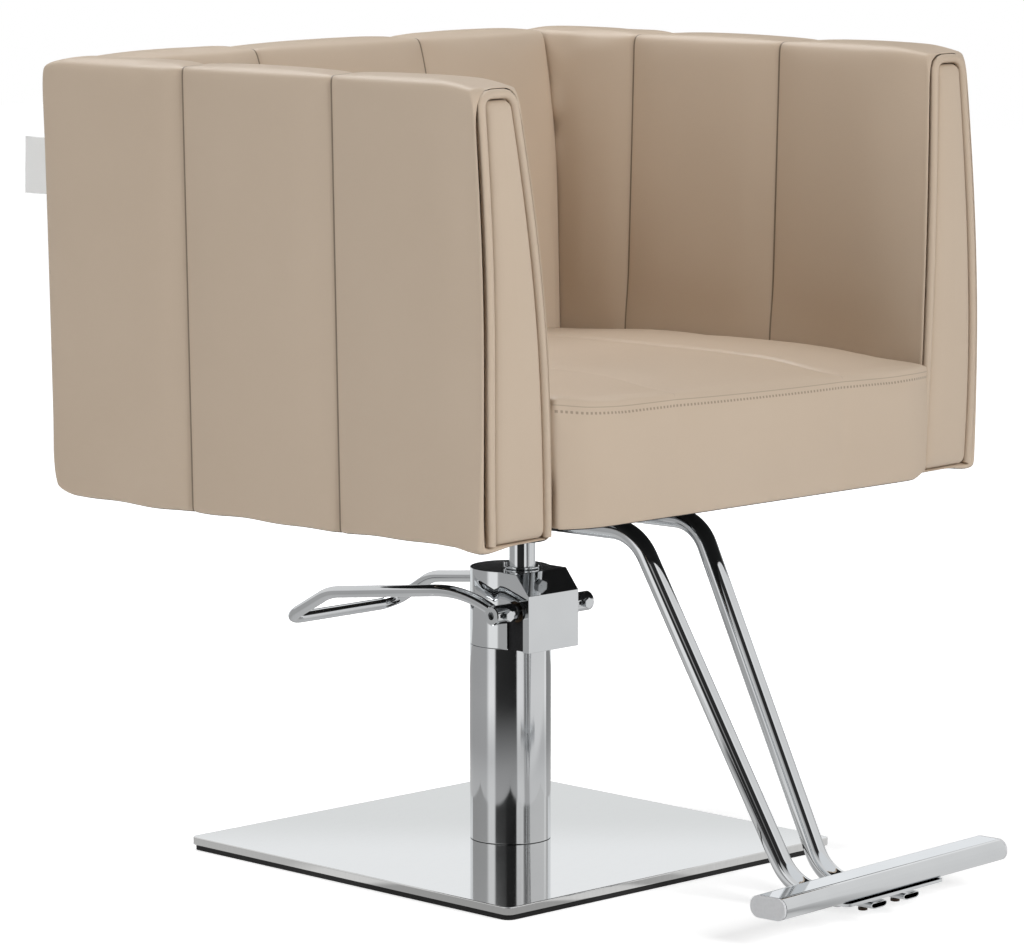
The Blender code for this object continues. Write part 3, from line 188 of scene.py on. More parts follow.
def stage_paint(piece, white, lift, mirrored):
    """Matt white that a camera sees lifted to white, and that polished metal sees at its own level."""
    paint = bpy.data.materials.new(piece.name)
    paint.use_nodes = True
    tree = paint.node_tree
    tree.nodes.remove(tree.nodes["Principled BSDF"])
    rays = tree.nodes.new("ShaderNodeLightPath")
    direct = Wire(rays.outputs["Is Camera Ray"]) + Wire(rays.outputs["Is Transmission Ray"])
    place = Wire(tree.nodes.new("ShaderNodeTexCoord").outputs["Object"])
    glossy = Wire(rays.outputs["Is Glossy Ray"])
    matt = direct.node("BsdfDiffuse", {}, {"Color": (white, white, white, 1.0)})
    x = place.node("SeparateXYZ", {}, {"Vector": place}, "X")
    y = place.node("SeparateXYZ", {}, {"Vector": place}, "Y")
    away = (x * x + y * y).limit(0.5, 4.0)
    rise = (lift + (1 - lift) * away) * direct
    lifted = direct.node("Emission", {}, {"Color": (1.0, 1.0, 1.0, 1.0), "Strength": rise})
    shown = direct.node("AddShader", {}, {0: matt, 1: lifted})
    seen = direct.node("Emission", {}, {"Color": mirrored(place)})
    both = direct.node("MixShader", {}, {0: glossy, 1: shown, 2: seen})
    tree.links.new(both.socket, tree.nodes["Material Output"].inputs["Surface"])
    piece.data.materials.append(paint)


def grey(level):
    return (level, level, level, 1.0)


def bands(heading, stops):
    """Greys by how far round the studio a heading lies: 0.5 towards the camera, and less to its left."""
    turned = heading.node("Mapping", {}, {"Vector": heading, "Rotation": (0, 0, math.radians(139.06))})
    x = heading.node("SeparateXYZ", {}, {"Vector": turned}, "X")
    y = heading.node("SeparateXYZ", {}, {"Vector": turned}, "Y")
    around = x.maths("ARCTAN2", y, x) * (0.5 / math.pi) + 0.5
    greys = [(spot, grey(level)) for spot, level in stops]
    return around.node("ValToRGB", {"stops": greys}, {"Fac": around}, "Color")


low_bands = [
    (0.09, 0.42), (0.30, 0.46), (0.325, 1.0), (0.37, 1.0), (0.385, 0.03), (0.545, 0.02), (0.552, 0.95),
    (0.60, 0.9), (0.612, 0.15), (0.645, 0.2), (0.655, 0.82), (0.81, 0.82), (0.818, 1.0), (0.835, 1.0),
]


def strips(place):
    """What metal sees of the floor: pale round the chair, and the studio's bands further off."""
    x = place.node("SeparateXYZ", {}, {"Vector": place}, "X")
    y = place.node("SeparateXYZ", {}, {"Vector": place}, "Y")
    reach = x * x + y * y
    far = bands(place, low_bands + [(0.84, 0.3)])
    near = reach.limit(0.10, 0.40).blend(grey(0.66), grey(0.40))
    near = near.node("Mix", {"data_type": "RGBA"}, {0: 0.4, 6: near, 7: far}, 2)
    in_front = x.limit(-0.15, 0.10) * (0 - y).limit(0.38, 0.50)
    return reach.limit(0.22, 0.75).blend(in_front.blend(near, grey(0.80)), far)


def plain_card(place):
    """The card, a little dimmer low down, where the plate sees it."""
    z = place.node("SeparateXYZ", {}, {"Vector": place}, "Z")
    return z.limit(0.15, 0.19).blend((0.83, 0.85, 0.86, 1.0), (0.96, 0.98, 1.0, 1.0))


stage_paint(floor, 0.86, 0.66, strips)
stage_paint(card, 0.80, 0.60, plain_card)

world = bpy.data.worlds.new("studio_sky")
world.use_nodes = True
scene.world = world
sky = world.node_tree
rays = sky.nodes.new("ShaderNodeLightPath")
mirrored = Wire(rays.outputs["Is Glossy Ray"])
heading = Wire(sky.nodes.new("ShaderNodeTexCoord").outputs["Generated"])
height = mirrored.node("SeparateXYZ", {}, {"Vector": heading}, "Z")
high_bands = [
    (0.02, 0.03), (0.03, 0.84), (0.39, 0.84), (0.46, 0.4), (0.475, 0.03), (0.585, 0.03), (0.595, 1.0),
    (0.66, 0.84), (0.93, 0.84), (0.94, 1.0), (0.97, 1.0), (0.978, 0.03),
]
level = bands(heading, [(0.05, 0.02)] + low_bands + [(0.85, 0.62), (0.92, 0.62), (0.96, 0.02)])
raised = bands(heading, high_bands)
room = height.limit(0.66, 0.74).blend(raised, (0.86, 0.88, 0.90, 1.0))
room = height.limit(0.20, 0.30).blend(level, room)
even = (0.05, 0.05, 0.051, 1.0)
clear = Wire(rays.outputs["Is Camera Ray"]) + Wire(rays.outputs["Is Transmission Ray"])
seen = clear.blend(mirrored.blend(even, room), (1.0, 1.0, 1.0, 1.0))
seen.feed(sky.nodes["Background"], "Color")

for name, place, aim, size, power in (
    ("top_softbox", (0.3, 1.2, 2.8), (0.0, 0.0, 0.5), (2.0, 1.6), 44),
    ("front_softbox", (-0.3, -3.3, 1.9), (0.0, 0.0, 0.5), (1.6, 1.4), 78),
    ("side_softbox", (-3.3, 0.4, 1.3), (0.0, 0.0, 0.5), (1.2, 1.4), 39),
):
    lamp = bpy.data.lights.new(name, "AREA")
    lamp.shape = "RECTANGLE"
    lamp.size, lamp.size_y = size
    lamp.energy = power
    holder = bpy.data.objects.new(name, lamp)
    scene.collection.objects.link(holder)
    holder.location = place
    holder.visible_glossy = name == "top_softbox"
    holder.rotation_euler = (Vector(aim) - Vector(place)).to_track_quat("-Z", "Y").to_euler()


# Base plate. A square of 8 mm stainless steel with eased edges, finely brushed and polished,
# that stands on a black rubber mat glued under it.
def finish(name):
    """A new material, its shader, and the wire of the piece's own coordinates in metres."""
    made = bpy.data.materials.new(name)
    made.use_nodes = True
    tree = made.node_tree
    place = Wire(tree.nodes.new("ShaderNodeTexCoord").outputs["Object"])
    return made, tree.nodes["Principled BSDF"], place


def noise(place, scale, detail=2.0):
    return place.node("TexNoise", {}, {"Vector": place, "Scale": scale, "Detail": detail}, "Fac")


def wear(piece, material):
    """Gives a piece one finish."""
    piece.data.materials.clear()
    piece.data.materials.append(material)


def only(piece):
    """Makes a piece the active object, and the only one selected."""
    bpy.ops.object.select_all(action="DESELECT")
    bpy.context.view_layer.objects.active = piece
    piece.select_set(True)


def pick(piece, mode, test):
    """Opens a piece in edit mode and selects the edges or faces that pass a test."""
    only(piece)
    bpy.ops.object.mode_set(mode="EDIT")
    bpy.ops.mesh.select_mode(type=mode)
    bpy.ops.mesh.select_all(action="DESELECT")
    shape = bmesh.from_edit_mesh(piece.data)
    for part in shape.edges if mode == "EDGE" else shape.faces:
        part.select_set(test(part))
    bmesh.update_edit_mesh(piece.data)


def close(piece, angle=40):
    """Leaves edit mode and shades the piece smooth, with its true edges kept."""
    if piece.mode == "EDIT":
        bpy.ops.object.mode_set(mode="OBJECT")
    only(piece)
    bpy.ops.object.shade_smooth_by_angle(angle=math.radians(angle))


def apply(piece, kind, **settings):
    """Adds a modifier with its settings and applies it."""
    only(piece)
    modifier = piece.modifiers.new(kind.lower(), kind)
    for name, value in settings.items():
        setattr(modifier, name, value)
    bpy.ops.object.modifier_apply(modifier=modifier.name)


def upright(edge):
    return abs(edge.verts[0].co.z - edge.verts[1].co.z) > 0.001


pump_turn = math.radians(-4.4)
pump_place = Matrix.Rotation(pump_turn, 4, "Z") @ Matrix.Translation((0, 0.0164, 0))
plate_side = 0.45
plate_thickness = 0.008
mat_thickness = 0.005
plate = add(
    "polished_base_plate",
    bpy.ops.mesh.primitive_cube_add,
    size=1,
    location=(0, 0, mat_thickness + plate_thickness / 2),
    scale=(plate_side, plate_side, plate_thickness),
)
pick(plate, "EDGE", upright)
bpy.ops.mesh.bevel(offset=0.009, segments=8, affect="EDGES")
bpy.ops.object.mode_set(mode="OBJECT")
apply(plate, "BEVEL", width=0.0012, segments=3, limit_method="ANGLE", angle_limit=math.radians(50))
plate.data.transform(pump_place)
close(plate)
apply(plate, "WEIGHTED_NORMAL", keep_sharp=True)
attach(plate, "base")
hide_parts("base_plate")

stainless, shader, place = finish("brushed_stainless")
brushed = {"Vector": place, "Rotation": (0, 0, -pump_turn), "Scale": (1.0, 60.0, 1.0)}
lines = noise(place.node("Mapping", {}, brushed), 55, 4.0)
cloud = noise(place, 9)
lines.blend(colour(214, 214, 213), colour(228, 228, 227)).feed(shader, "Base Color")
(0.03 + 0.035 * lines + 0.02 * cloud).feed(shader, "Roughness")
shader.inputs["Metallic"].default_value = 1.0
wear(plate, stainless)

rubber, shader, place = finish("black_rubber")
specks = noise(place, 900)
specks.blend(colour(16, 16, 16), colour(34, 33, 33)).feed(shader, "Base Color")
(0.62 + 0.25 * specks).feed(shader, "Roughness")
place.node("Bump", {}, {"Height": specks, "Strength": 0.3, "Distance": 0.0004}).feed(shader, "Normal")
wear(nodes["base_rubber"], rubber)

# Pump inside the column. A steel cylinder bolted to the base, its piston, rod guide and cast block,
# the bronze bushes, and the cam and plunger; none of it shows but through the cover's slots.
steel, shader, place = finish("zinc_plated_steel")
cloud = noise(place, 160, 4.0)
cloud.blend(colour(176, 178, 180), colour(214, 216, 218)).feed(shader, "Base Color")
(0.20 + 0.22 * cloud).feed(shader, "Roughness")
shader.inputs["Metallic"].default_value = 1.0
for name in (
    "pump_cylinder", "rod_guide", "pump_plunger", "pump_cam", "piston", "rod_nut",
    "foot_screw_1", "foot_screw_2", "foot_screw_3", "foot_screw_4",
):
    wear(nodes[name], steel)

iron, shader, place = finish("cast_iron")
grain = noise(place, 500, 5.0)
grain.blend(colour(26, 26, 27), colour(58, 58, 60)).feed(shader, "Base Color")
(0.5 + 0.3 * grain).feed(shader, "Roughness")
shader.inputs["Metallic"].default_value = 0.6
place.node("Bump", {}, {"Height": grain, "Strength": 0.5, "Distance": 0.0005}).feed(shader, "Normal")
wear(nodes["pump_block"], iron)

bronze, shader, place = finish("oiled_bronze")
cloud = noise(place, 220)
cloud.blend(colour(50, 42, 34), colour(88, 72, 56)).feed(shader, "Base Color")
(0.28 + 0.2 * cloud).feed(shader, "Roughness")
shader.inputs["Metallic"].default_value = 1.0
wear(nodes["left_shaft_bush"], bronze)
wear(nodes["right_shaft_bush"], bronze)
wear(nodes["piston_seal"], rubber)


# Column sleeve. A polished stainless tube slipped over the pump, from the base plate up to the
# seam under the pump head.
def chrome(name, dark, light, smooth, rough):
    """Bright plating: faint clouds in its tint, and hand marks in its gloss."""
    made, shader, place = finish(name)
    cloud = noise(place, 14)
    marks = noise(place, 70, 5.0)
    cloud.blend(dark, light).feed(shader, "Base Color")
    (smooth + (rough - smooth) * marks).feed(shader, "Roughness")
    shader.inputs["Metallic"].default_value = 1.0
    return made


def cylinder(name, sides, radius, foot, top):
    """An upright cylinder on the axis, between two heights."""
    size = {"vertices": sides, "radius": radius, "depth": top - foot}
    return add(name, bpy.ops.mesh.primitive_cylinder_add, location=(0, 0, (foot + top) / 2), **size)


sleeve_finish = chrome("polished_column", colour(206, 208, 210), colour(222, 223, 224), 0.05, 0.11)
column = cylinder("polished_column", sides=128, radius=0.040, foot=0.0133, top=0.2082)
apply(column, "BEVEL", width=0.0006, segments=2, limit_method="ANGLE", angle_limit=math.radians(50))
column.data.transform(pump_place)
close(column)
apply(column, "WEIGHTED_NORMAL", keep_sharp=True)
wear(column, sleeve_finish)
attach(column, "base")
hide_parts("column_sleeve")


# Pump head cover. A chromed steel box with a round back that slips over the pump block. Its front
# is chamfered, and its side slots let the cross shaft through.
def smoothed(node, name, edge, body, material, angle=40):
    """A finished copy of a solid: its triangles joined, flats cleared, edges eased, shaded smooth."""
    piece = bpy.data.objects.new(name, nodes[node].data.copy())
    scene.collection.objects.link(piece)
    pick(piece, "FACE", lambda face: True)
    bpy.ops.mesh.remove_doubles(threshold=0.00001)
    bpy.ops.mesh.dissolve_limited(angle_limit=math.radians(0.5))
    bpy.ops.object.mode_set(mode="OBJECT")
    apply(piece, "BEVEL", width=edge, segments=2, limit_method="ANGLE", angle_limit=math.radians(angle))
    close(piece, angle)
    apply(piece, "WEIGHTED_NORMAL", keep_sharp=True)
    wear(piece, material)
    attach(piece, body)
    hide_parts(node)
    return piece


bright = chrome("bright_chrome", colour(208, 210, 212), colour(224, 226, 227), 0.025, 0.06)
smoothed("pump_head_cover", "chromed_head_cover", 0.0004, "base", bright, 30)
smoothed("rod_ring", "retaining_ring", 0.0002, "base", bright)

# Cross shaft. A steel shaft through the pump block, with a chromed sleeve pushed over each end
# and a hexagon bolt through each sleeve that clamps the pedal.
smoothed("cross_shaft", "steel_cross_shaft", 0.0003, "pedal", steel)
for side in ("left", "right"):
    smoothed(f"{side}_pedal_sleeve", f"{side}_chromed_sleeve", 0.0004, "pedal", bright)
    smoothed(f"{side}_clamp_bolt", f"{side}_hexagon_bolt", 0.0005, "pedal", bright)


# Foot pedal. One chromed 12 mm rod bent to a U, cranked down at its far end, and welded to the
# two sleeves.
def bend(corners, radii):
    """Points along a bent rod: straight between corners, and an arc at each inner one."""
    points = [corners[0]]
    for before, corner, after, radius in zip(corners, corners[1:], corners[2:], radii):
        into = (corner - before).normalized()
        out = (after - corner).normalized()
        angle = into.angle(out)
        start = corner - into * radius * math.tan(angle / 2)
        centre = start + (out - into * into.dot(out)).normalized() * radius
        axis = into.cross(out).normalized()
        count = max(4, round(math.degrees(angle) / 3))
        for step in range(count + 1):
            points.append(centre + Matrix.Rotation(angle * step / count, 3, axis) @ (start - centre))
    points.append(corners[-1])
    return points


def rod(name, points, radius):
    """A round rod along points, drawn as a curve and made a mesh."""
    path = bpy.data.curves.new(name, "CURVE")
    path.dimensions = "3D"
    path.bevel_depth = radius
    path.bevel_resolution = 10
    path.use_fill_caps = True
    line = path.splines.new("POLY")
    line.points.add(len(points) - 1)
    for knot, point in zip(line.points, points):
        knot.co = (*point, 1.0)
    piece = bpy.data.objects.new(name, path)
    scene.collection.objects.link(piece)
    only(piece)
    bpy.ops.object.convert(target="MESH")
    piece = bpy.context.active_object
    pick(piece, "FACE", lambda face: True)
    bpy.ops.mesh.remove_doubles(threshold=0.00001)
    bpy.ops.mesh.normals_make_consistent(inside=False)
    close(piece, 50)
    return piece


side_run = ((0, 0), (0.049, 0.019), (0.227, -0.0025), (0.288, -0.037))
half = [Vector((0.056 + 0.066 * y, y, z)) for y, z in side_run]
mirrored_half = [Vector((-point.x, point.y, point.z)) for point in half]
bends = [0.140, 0.060, 0.020]
pedal = rod("chromed_pedal", bend(mirrored_half + half[::-1], bends + bends[::-1]), 0.006)
pedal.data.transform(pump_place @ Matrix.Translation((0, -0.041, 0.2475)))
wear(pedal, bright)
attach(pedal, "pedal")
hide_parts("pedal_lever")

# Return spring. A coil of steel wire under the pump's plunger, standing on the pump block; it is
# pressed together as the pedal goes down, and lifts the plunger and the pedal again.
coil_low, coil_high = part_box("plunger_spring")
coil_middle = (coil_low + coil_high) / 2
coil_radius = 0.0042
wire_radius = 0.0005
coil_steps = 96
coil = []
for step in range(coil_steps + 1):
    turn = 4 * math.tau * step / coil_steps
    height = coil_low.z + wire_radius + (coil_high.z - coil_low.z - 2 * wire_radius) * step / coil_steps
    out = coil_radius * Vector((math.cos(turn), math.sin(turn)))
    coil.append(Vector((coil_middle.x + out.x, coil_middle.y + out.y, height)))
spring = rod("return_spring", coil, wire_radius)
wear(spring, steel)
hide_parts("plunger_spring")
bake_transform(spring)

# Piston rod. A ground and chromed 26 mm rod that carries the seat, and slides and turns in the
# pump.
lift_rod = cylinder("chromed_rod", sides=96, radius=0.0130, foot=0.0471, top=0.3494)
close(lift_rod)
wear(lift_rod, bright)
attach(lift_rod, "seat")
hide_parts("piston_rod")

# Swivel hub and seat bracket. A turned hub pressed on the rod and painted black, under a bracket of
# folded, galvanised steel that is bolted to the seat board.
paint, shader, place = finish("black_powder_coat")
peel = noise(place, 420, 3.0)
peel.blend(colour(18, 18, 19), colour(30, 30, 31)).feed(shader, "Base Color")
(0.32 + 0.2 * peel).feed(shader, "Roughness")
place.node("Bump", {}, {"Height": peel, "Strength": 0.25, "Distance": 0.0003}).feed(shader, "Normal")
smoothed("swivel_hub", "painted_hub", 0.0006, "seat", paint)
smoothed("seat_bracket", "folded_bracket", 0.0006, "seat", steel)
for number in (1, 2, 3, 4):
    smoothed(f"bracket_bolt_{number}", f"seat_bolt_{number}", 0.0005, "seat", steel)

# Footrest tubes. Two chromed 20 mm tubes bolted under the bracket. They bend down and forward,
# draw together, and end crimped under the bar, open and black inside.
blackened, shader, place = finish("blackened_steel")
cloud = noise(place, 260, 3.0)
cloud.blend(colour(46, 39, 34), colour(84, 72, 63)).feed(shader, "Base Color")
(0.28 + 0.2 * cloud).feed(shader, "Roughness")
shader.inputs["Metallic"].default_value = 1.0


def ease(value):
    """From 0 to 1 with soft ends, and held beyond them."""
    value = min(max(value, 0.0), 1.0)
    return value * value * (3 - 2 * value)


tube_radius = 0.010
upper_height = 0.3447
lower_height = 0.0199
crimp_start = -0.4121
tube_end = -0.4596
mouth = tube_end + 0.0016
for side, sign in (("left", -1), ("right", 1)):
    upper = sign * 0.047
    lower = sign * 0.025
    corners = [
        Vector((upper, 0.070, upper_height)),
        Vector((upper, -0.1840, upper_height)),
        Vector((lower, -0.3582, lower_height)),
        Vector((lower, tube_end, lower_height)),
    ]
    line = bend(corners, [0.045, 0.048])
    line[-1:-1] = [Vector((lower, crimp_start - 0.002 * step, lower_height)) for step in range(8)]
    tube = rod(f"{side}_chromed_tube", line, tube_radius)
    for vert in tube.data.vertices:
        share = ease((crimp_start - vert.co.y) / 0.012)
        across = vert.co.x - lower
        up = vert.co.z - lower_height
        dent = (0.0030 if up > 0 else -0.0015) * (1 - (across / tube_radius) ** 2) ** 2
        vert.co.x = lower + across * (1 + 0.22 * share)
        vert.co.z = lower_height + up * (1 - 0.5 * share) - dent * share
    wear(tube, bright)
    tube.data.materials.append(blackened)
    pick(tube, "FACE", lambda face: face.normal.y < -0.9 and face.calc_center_median().y < mouth)
    bpy.ops.mesh.inset(thickness=0.0010)
    bpy.ops.mesh.extrude_region_move(TRANSFORM_OT_translate={"value": (0, 0.012, 0)})
    bpy.ops.mesh.select_more()
    tube.active_material_index = 1
    bpy.ops.object.material_slot_assign()
    close(tube, 50)
    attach(tube, "seat")
    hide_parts(f"{side}_footrest_tube")
    for spot in (f"{side}_front", f"{side}_rear"):
        smoothed(f"{spot}_footrest_bolt", f"{spot}_tube_bolt", 0.0005, "seat", steel)

# Footrest bar. An oval chromed tube closed by grey plastic caps, screwed to the crimped tube ends
# through a steel plate under it.
bar_low, bar_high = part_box("footrest_bar")
bar = add(
    "chromed_footrest_bar",
    bpy.ops.mesh.primitive_cube_add,
    size=1,
    location=(bar_low + bar_high) / 2,
    scale=bar_high - bar_low,
)
pick(bar, "EDGE", lambda edge: abs(edge.verts[0].co.x - edge.verts[1].co.x) > 0.1)
bpy.ops.mesh.bevel(offset=0.0098, segments=12, affect="EDGES")
close(bar, 30)
apply(bar, "WEIGHTED_NORMAL", keep_sharp=True)
wear(bar, bright)
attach(bar, "seat")
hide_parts("footrest_bar")

plastic, shader, place = finish("grey_plastic")
cloud = noise(place, 300)
cloud.blend(colour(222, 223, 225), colour(236, 237, 239)).feed(shader, "Base Color")
(0.30 + 0.15 * cloud).feed(shader, "Roughness")
for side in ("left", "right"):
    smoothed(f"{side}_bar_cap", f"{side}_plastic_cap", 0.0006, "seat", plastic)
    smoothed(f"{side}_bar_screw", f"{side}_plate_screw", 0.0005, "seat", blackened)
smoothed("footrest_plate", "steel_footrest_plate", 0.0005, "seat", bright)


# Seat board. A 15 mm plywood board between the arms that carries the cushion, with black lining
# cloth under it.
def threads(place, direction, scale):
    """Rows of thread across one direction."""
    rows = {"wave_type": "BANDS", "bands_direction": direction}
    return place.node("TexWave", rows, {"Vector": place, "Scale": scale}, "Fac")


lining, shader, place = finish("black_lining")
weave = threads(place, "X", 500.0) * threads(place, "Y", 500.0)
weave.blend(colour(10, 10, 11), colour(24, 24, 25)).feed(shader, "Base Color")
(0.85 + 0.1 * weave).feed(shader, "Roughness")
wear(nodes["seat_board"], lining)


# Padding. The arms, back and cushion are foam on a wooden frame under one beige leather, sewn in
# upright channels. Each starts as a cut box, swells under pressure, and is drawn in at its seams.
def leather_finish(name, light, dark, seams, seam_shade_width=0.0009, stitches_and_seam_shade=None):
    """Beige leather: fine grain, soft clouds, and a line of painted shade where an attribute meets a
    seam.
    """
    made, shader, place = finish(name)
    cloud = noise(place, 5, 3.0)
    cells = {"Vector": place, "Scale": 620.0}
    grain = place.node("TexVoronoi", {"feature": "SMOOTH_F1"}, cells, "Distance")
    pores = noise(place, 1500, 2.0)
    base = cloud.blend(dark, light)
    # Painted shade: a dark line along each seam, standing in for the shade that falls into its sewn gap.
    for attribute, spots in seams:
        for spot in spots:
            run = place.node("Attribute", {"attribute_name": attribute}, {}, "Fac")
            near = 1 - abs(run - spot).limit(seam_shade_width * 0.4, seam_shade_width * 1.6)
            base = (0.72 * near).blend(base, colour(74, 60, 45))
    # Real thread dashes, and painted shade along the cushion's seams, in one dark brown.
    if stitches_and_seam_shade:
        base = (0.62 * stitches_and_seam_shade(place)).blend(base, colour(84, 68, 52))
    base.feed(shader, "Base Color")
    (0.40 + 0.10 * cloud + 0.10 * grain).feed(shader, "Roughness")
    relief = {"Height": 0.7 * grain + 0.3 * pores, "Strength": 0.16, "Distance": 0.0004}
    place.node("Bump", {}, relief).feed(shader, "Normal")
    return made


def cut_box(name, low, high, cuts):
    """A box sliced by planes across x, y and z."""
    middle, size = (low + high) / 2, high - low
    piece = add(name, bpy.ops.mesh.primitive_cube_add, size=1, location=middle, scale=size)
    pick(piece, "FACE", lambda face: True)
    for axis, places in enumerate(cuts):
        normal = [0, 0, 0]
        normal[axis] = 1
        for place in places:
            point = [0, 0, 0]
            point[axis] = place
            bpy.ops.mesh.select_all(action="SELECT")
            bpy.ops.mesh.bisect(plane_co=point, plane_no=normal)
    bpy.ops.object.mode_set(mode="OBJECT")
    return piece


def remember(piece):
    """Keeps each point's place in the box, so that seams can be found after it is shaped."""
    for axis, name in enumerate(("across", "along", "up")):
        kept = piece.data.attributes.new(name, "FLOAT", "POINT")
        kept.data.foreach_set("value", [vert.co[axis] for vert in piece.data.vertices])


def spread(low, high, step):
    """Even places between two ends, about a step apart."""
    count = max(1, round((high - low) / step))
    return [low + (high - low) * index / count for index in range(1, count)]


def finer(piece):
    apply(piece, "SUBSURF", levels=1, render_levels=1)


def values(piece, name):
    """What each point remembers of its place in the cut box."""
    return [item.value for item in piece.data.attributes[name].data]


def swell(piece, held, pressure, reach):
    """Cloth under pressure: the held points stay, and no point moves further than its reach."""
    start = [vert.co.copy() for vert in piece.data.vertices]
    group = piece.vertex_groups.new(name="held")
    for vert, weight in zip(piece.data.vertices, held):
        group.add([vert.index], weight, "REPLACE")
    cloth = piece.modifiers.new("cloth", "CLOTH")
    cloth.settings.vertex_group_mass = "held"
    cloth.settings.use_pressure = True
    cloth.settings.uniform_pressure_force = pressure
    cloth.settings.effector_weights.gravity = 0
    cloth.settings.tension_stiffness = 25
    cloth.settings.compression_stiffness = 25
    cloth.settings.bending_stiffness = 4
    for frame_number in range(1, 21):
        scene.frame_set(frame_number)
    only(piece)
    bpy.ops.object.modifier_apply(modifier="cloth")
    scene.frame_set(1)
    for vert, before in zip(piece.data.vertices, start):
        move = vert.co - before
        if move.length > reach:
            vert.co = before + move * (reach / move.length)
    piece.vertex_groups.remove(piece.vertex_groups["held"])


shell_low = 0.373
shell_high = 0.790


def lean(low, high, height):
    """A shell line's place at a height, from its places at the shell's foot and top."""
    return low + (high - low) * (height - shell_low) / (shell_high - shell_low)


def arm_inner(z):
    return lean(0.2780, 0.3110, z)


def arm_outer(z):
    return lean(0.3760, 0.3695, z)


def back_inner(z):
    return lean(0.1804, 0.2204, z)


def above_seat(z):
    """0 up to the top of the cushion, and 1 a little above it."""
    return ease((z - 0.497) / 0.048)


arm_front = -0.2736
arm_rear = 0.2830
arm_rake = 0.0143
arm_seams = (-0.0996, 0.0914)


def seam_cuts(low, high, seams, step, edge):
    """Cuts along a padded face: tight beside its ends and seams, even between."""
    places = [low + 0.4 * edge, low + edge, high - edge, high - 0.4 * edge]
    lines = [low + edge, *seams, high - edge]
    for first, second in zip(lines, lines[1:]):
        places += spread(first + 0.006, second - 0.006, step)
        places += [first + 0.006, second - 0.006]
    for seam in seams:
        places += [seam - 0.0022, seam, seam + 0.0022]
    return sorted(set(round(place, 5) for place in places))


def crowned(place, seams, low, high):
    """How far the padding stands out between its seams, and how it is drawn in on them."""
    lines = [low, *seams, high]
    for first, second in zip(lines, lines[1:]):
        if first <= place <= second:
            crown = 0.0035 * math.sin(math.pi * (place - first) / (second - first)) ** 0.7
            break
    nearest = min(abs(place - seam) for seam in seams)
    return crown - 0.0045 * math.exp(-((nearest / 0.0035) ** 2))


def belly(z):
    """How full the padding is at a height: nothing at the foot and top, 1 between."""
    return math.sin(math.pi * min(max((z - shell_low) / (shell_high - shell_low), 0.0), 1.0))


def stand_in(y, z):
    """How far an arm's padding stands in over the seat: most at its front."""
    return (0.0065 + 0.0070 * belly(z)) * (1 - ease((y - arm_front) / 0.16))


def front_fullness(z):
    """How far the padding stands ahead of an arm's frame."""
    return 0.001 + 0.0078 * belly(z)


def front_plane(z):
    """Where the raked, slightly full front of the arms stands at a height."""
    return arm_front + lean(0, arm_rake, z) - front_fullness(z)


def puffed(point):
    """A point on the arm's front, moved in over the seat, and at the foot off the outer edge."""
    inner = arm_inner(point.y)
    share = (point.x - inner) / (arm_outer(point.y) - inner)
    foot = max(1 - (point.y - shell_low) / 0.167, 0.0) ** 2
    inward = stand_in(arm_front, point.y) * (1 - share) + 0.0075 * foot * share
    return Vector((point.x - inward, point.y, 0))


def front_line(inset, drop, foot, radius):
    """A line round the front of an arm, inside its edge: outer foot, over the top, inner foot."""
    head = shell_high - 0.0070 - drop
    outer_inset = 0.0022 + inset
    inner_inset = 0.0062 + 0.85 * inset
    corners = [
        Vector((arm_outer(foot) - outer_inset, foot, 0)),
        Vector((arm_outer(head) - outer_inset, head, 0)),
        Vector((arm_inner(head) + inner_inset, head, 0)),
        Vector((arm_inner(foot) + inner_inset, foot, 0)),
    ]
    return bend(corners, [radius, radius])


def run_along(points, count):
    """Points evenly spaced along a line of points."""
    lengths = [0.0]
    for first, second in zip(points, points[1:]):
        lengths.append(lengths[-1] + (second - first).length)
    spaced = []
    index = 0
    for step in range(count):
        wanted = lengths[-1] * step / (count - 1)
        while index < len(points) - 2 and lengths[index + 1] < wanted:
            index += 1
        share = (wanted - lengths[index]) / max(lengths[index + 1] - lengths[index], 1e-9)
        spaced.append(points[index].lerp(points[index + 1], share))
    return spaced


def rim_loop(shape):
    """The vertices round a mesh's one open edge, in order."""
    rim = [edge for edge in shape.edges if edge.is_boundary]
    first = rim[0]
    loop = [first.verts[0], first.verts[1]]
    used = {first}
    while True:
        step = [edge for edge in loop[-1].link_edges if edge.is_boundary and edge not in used]
        if not step:
            break
        used.add(step[0])
        following = step[0].other_vert(loop[-1])
        if following is loop[0]:
            break
        loop.append(following)
    return loop


def skin(shape, rings):
    """Faces between closed rings of points."""
    for near, far in zip(rings, rings[1:]):
        for index in range(len(near)):
            following = (index + 1) % len(near)
            shape.faces.new((near[index], near[following], far[following], far[index]))


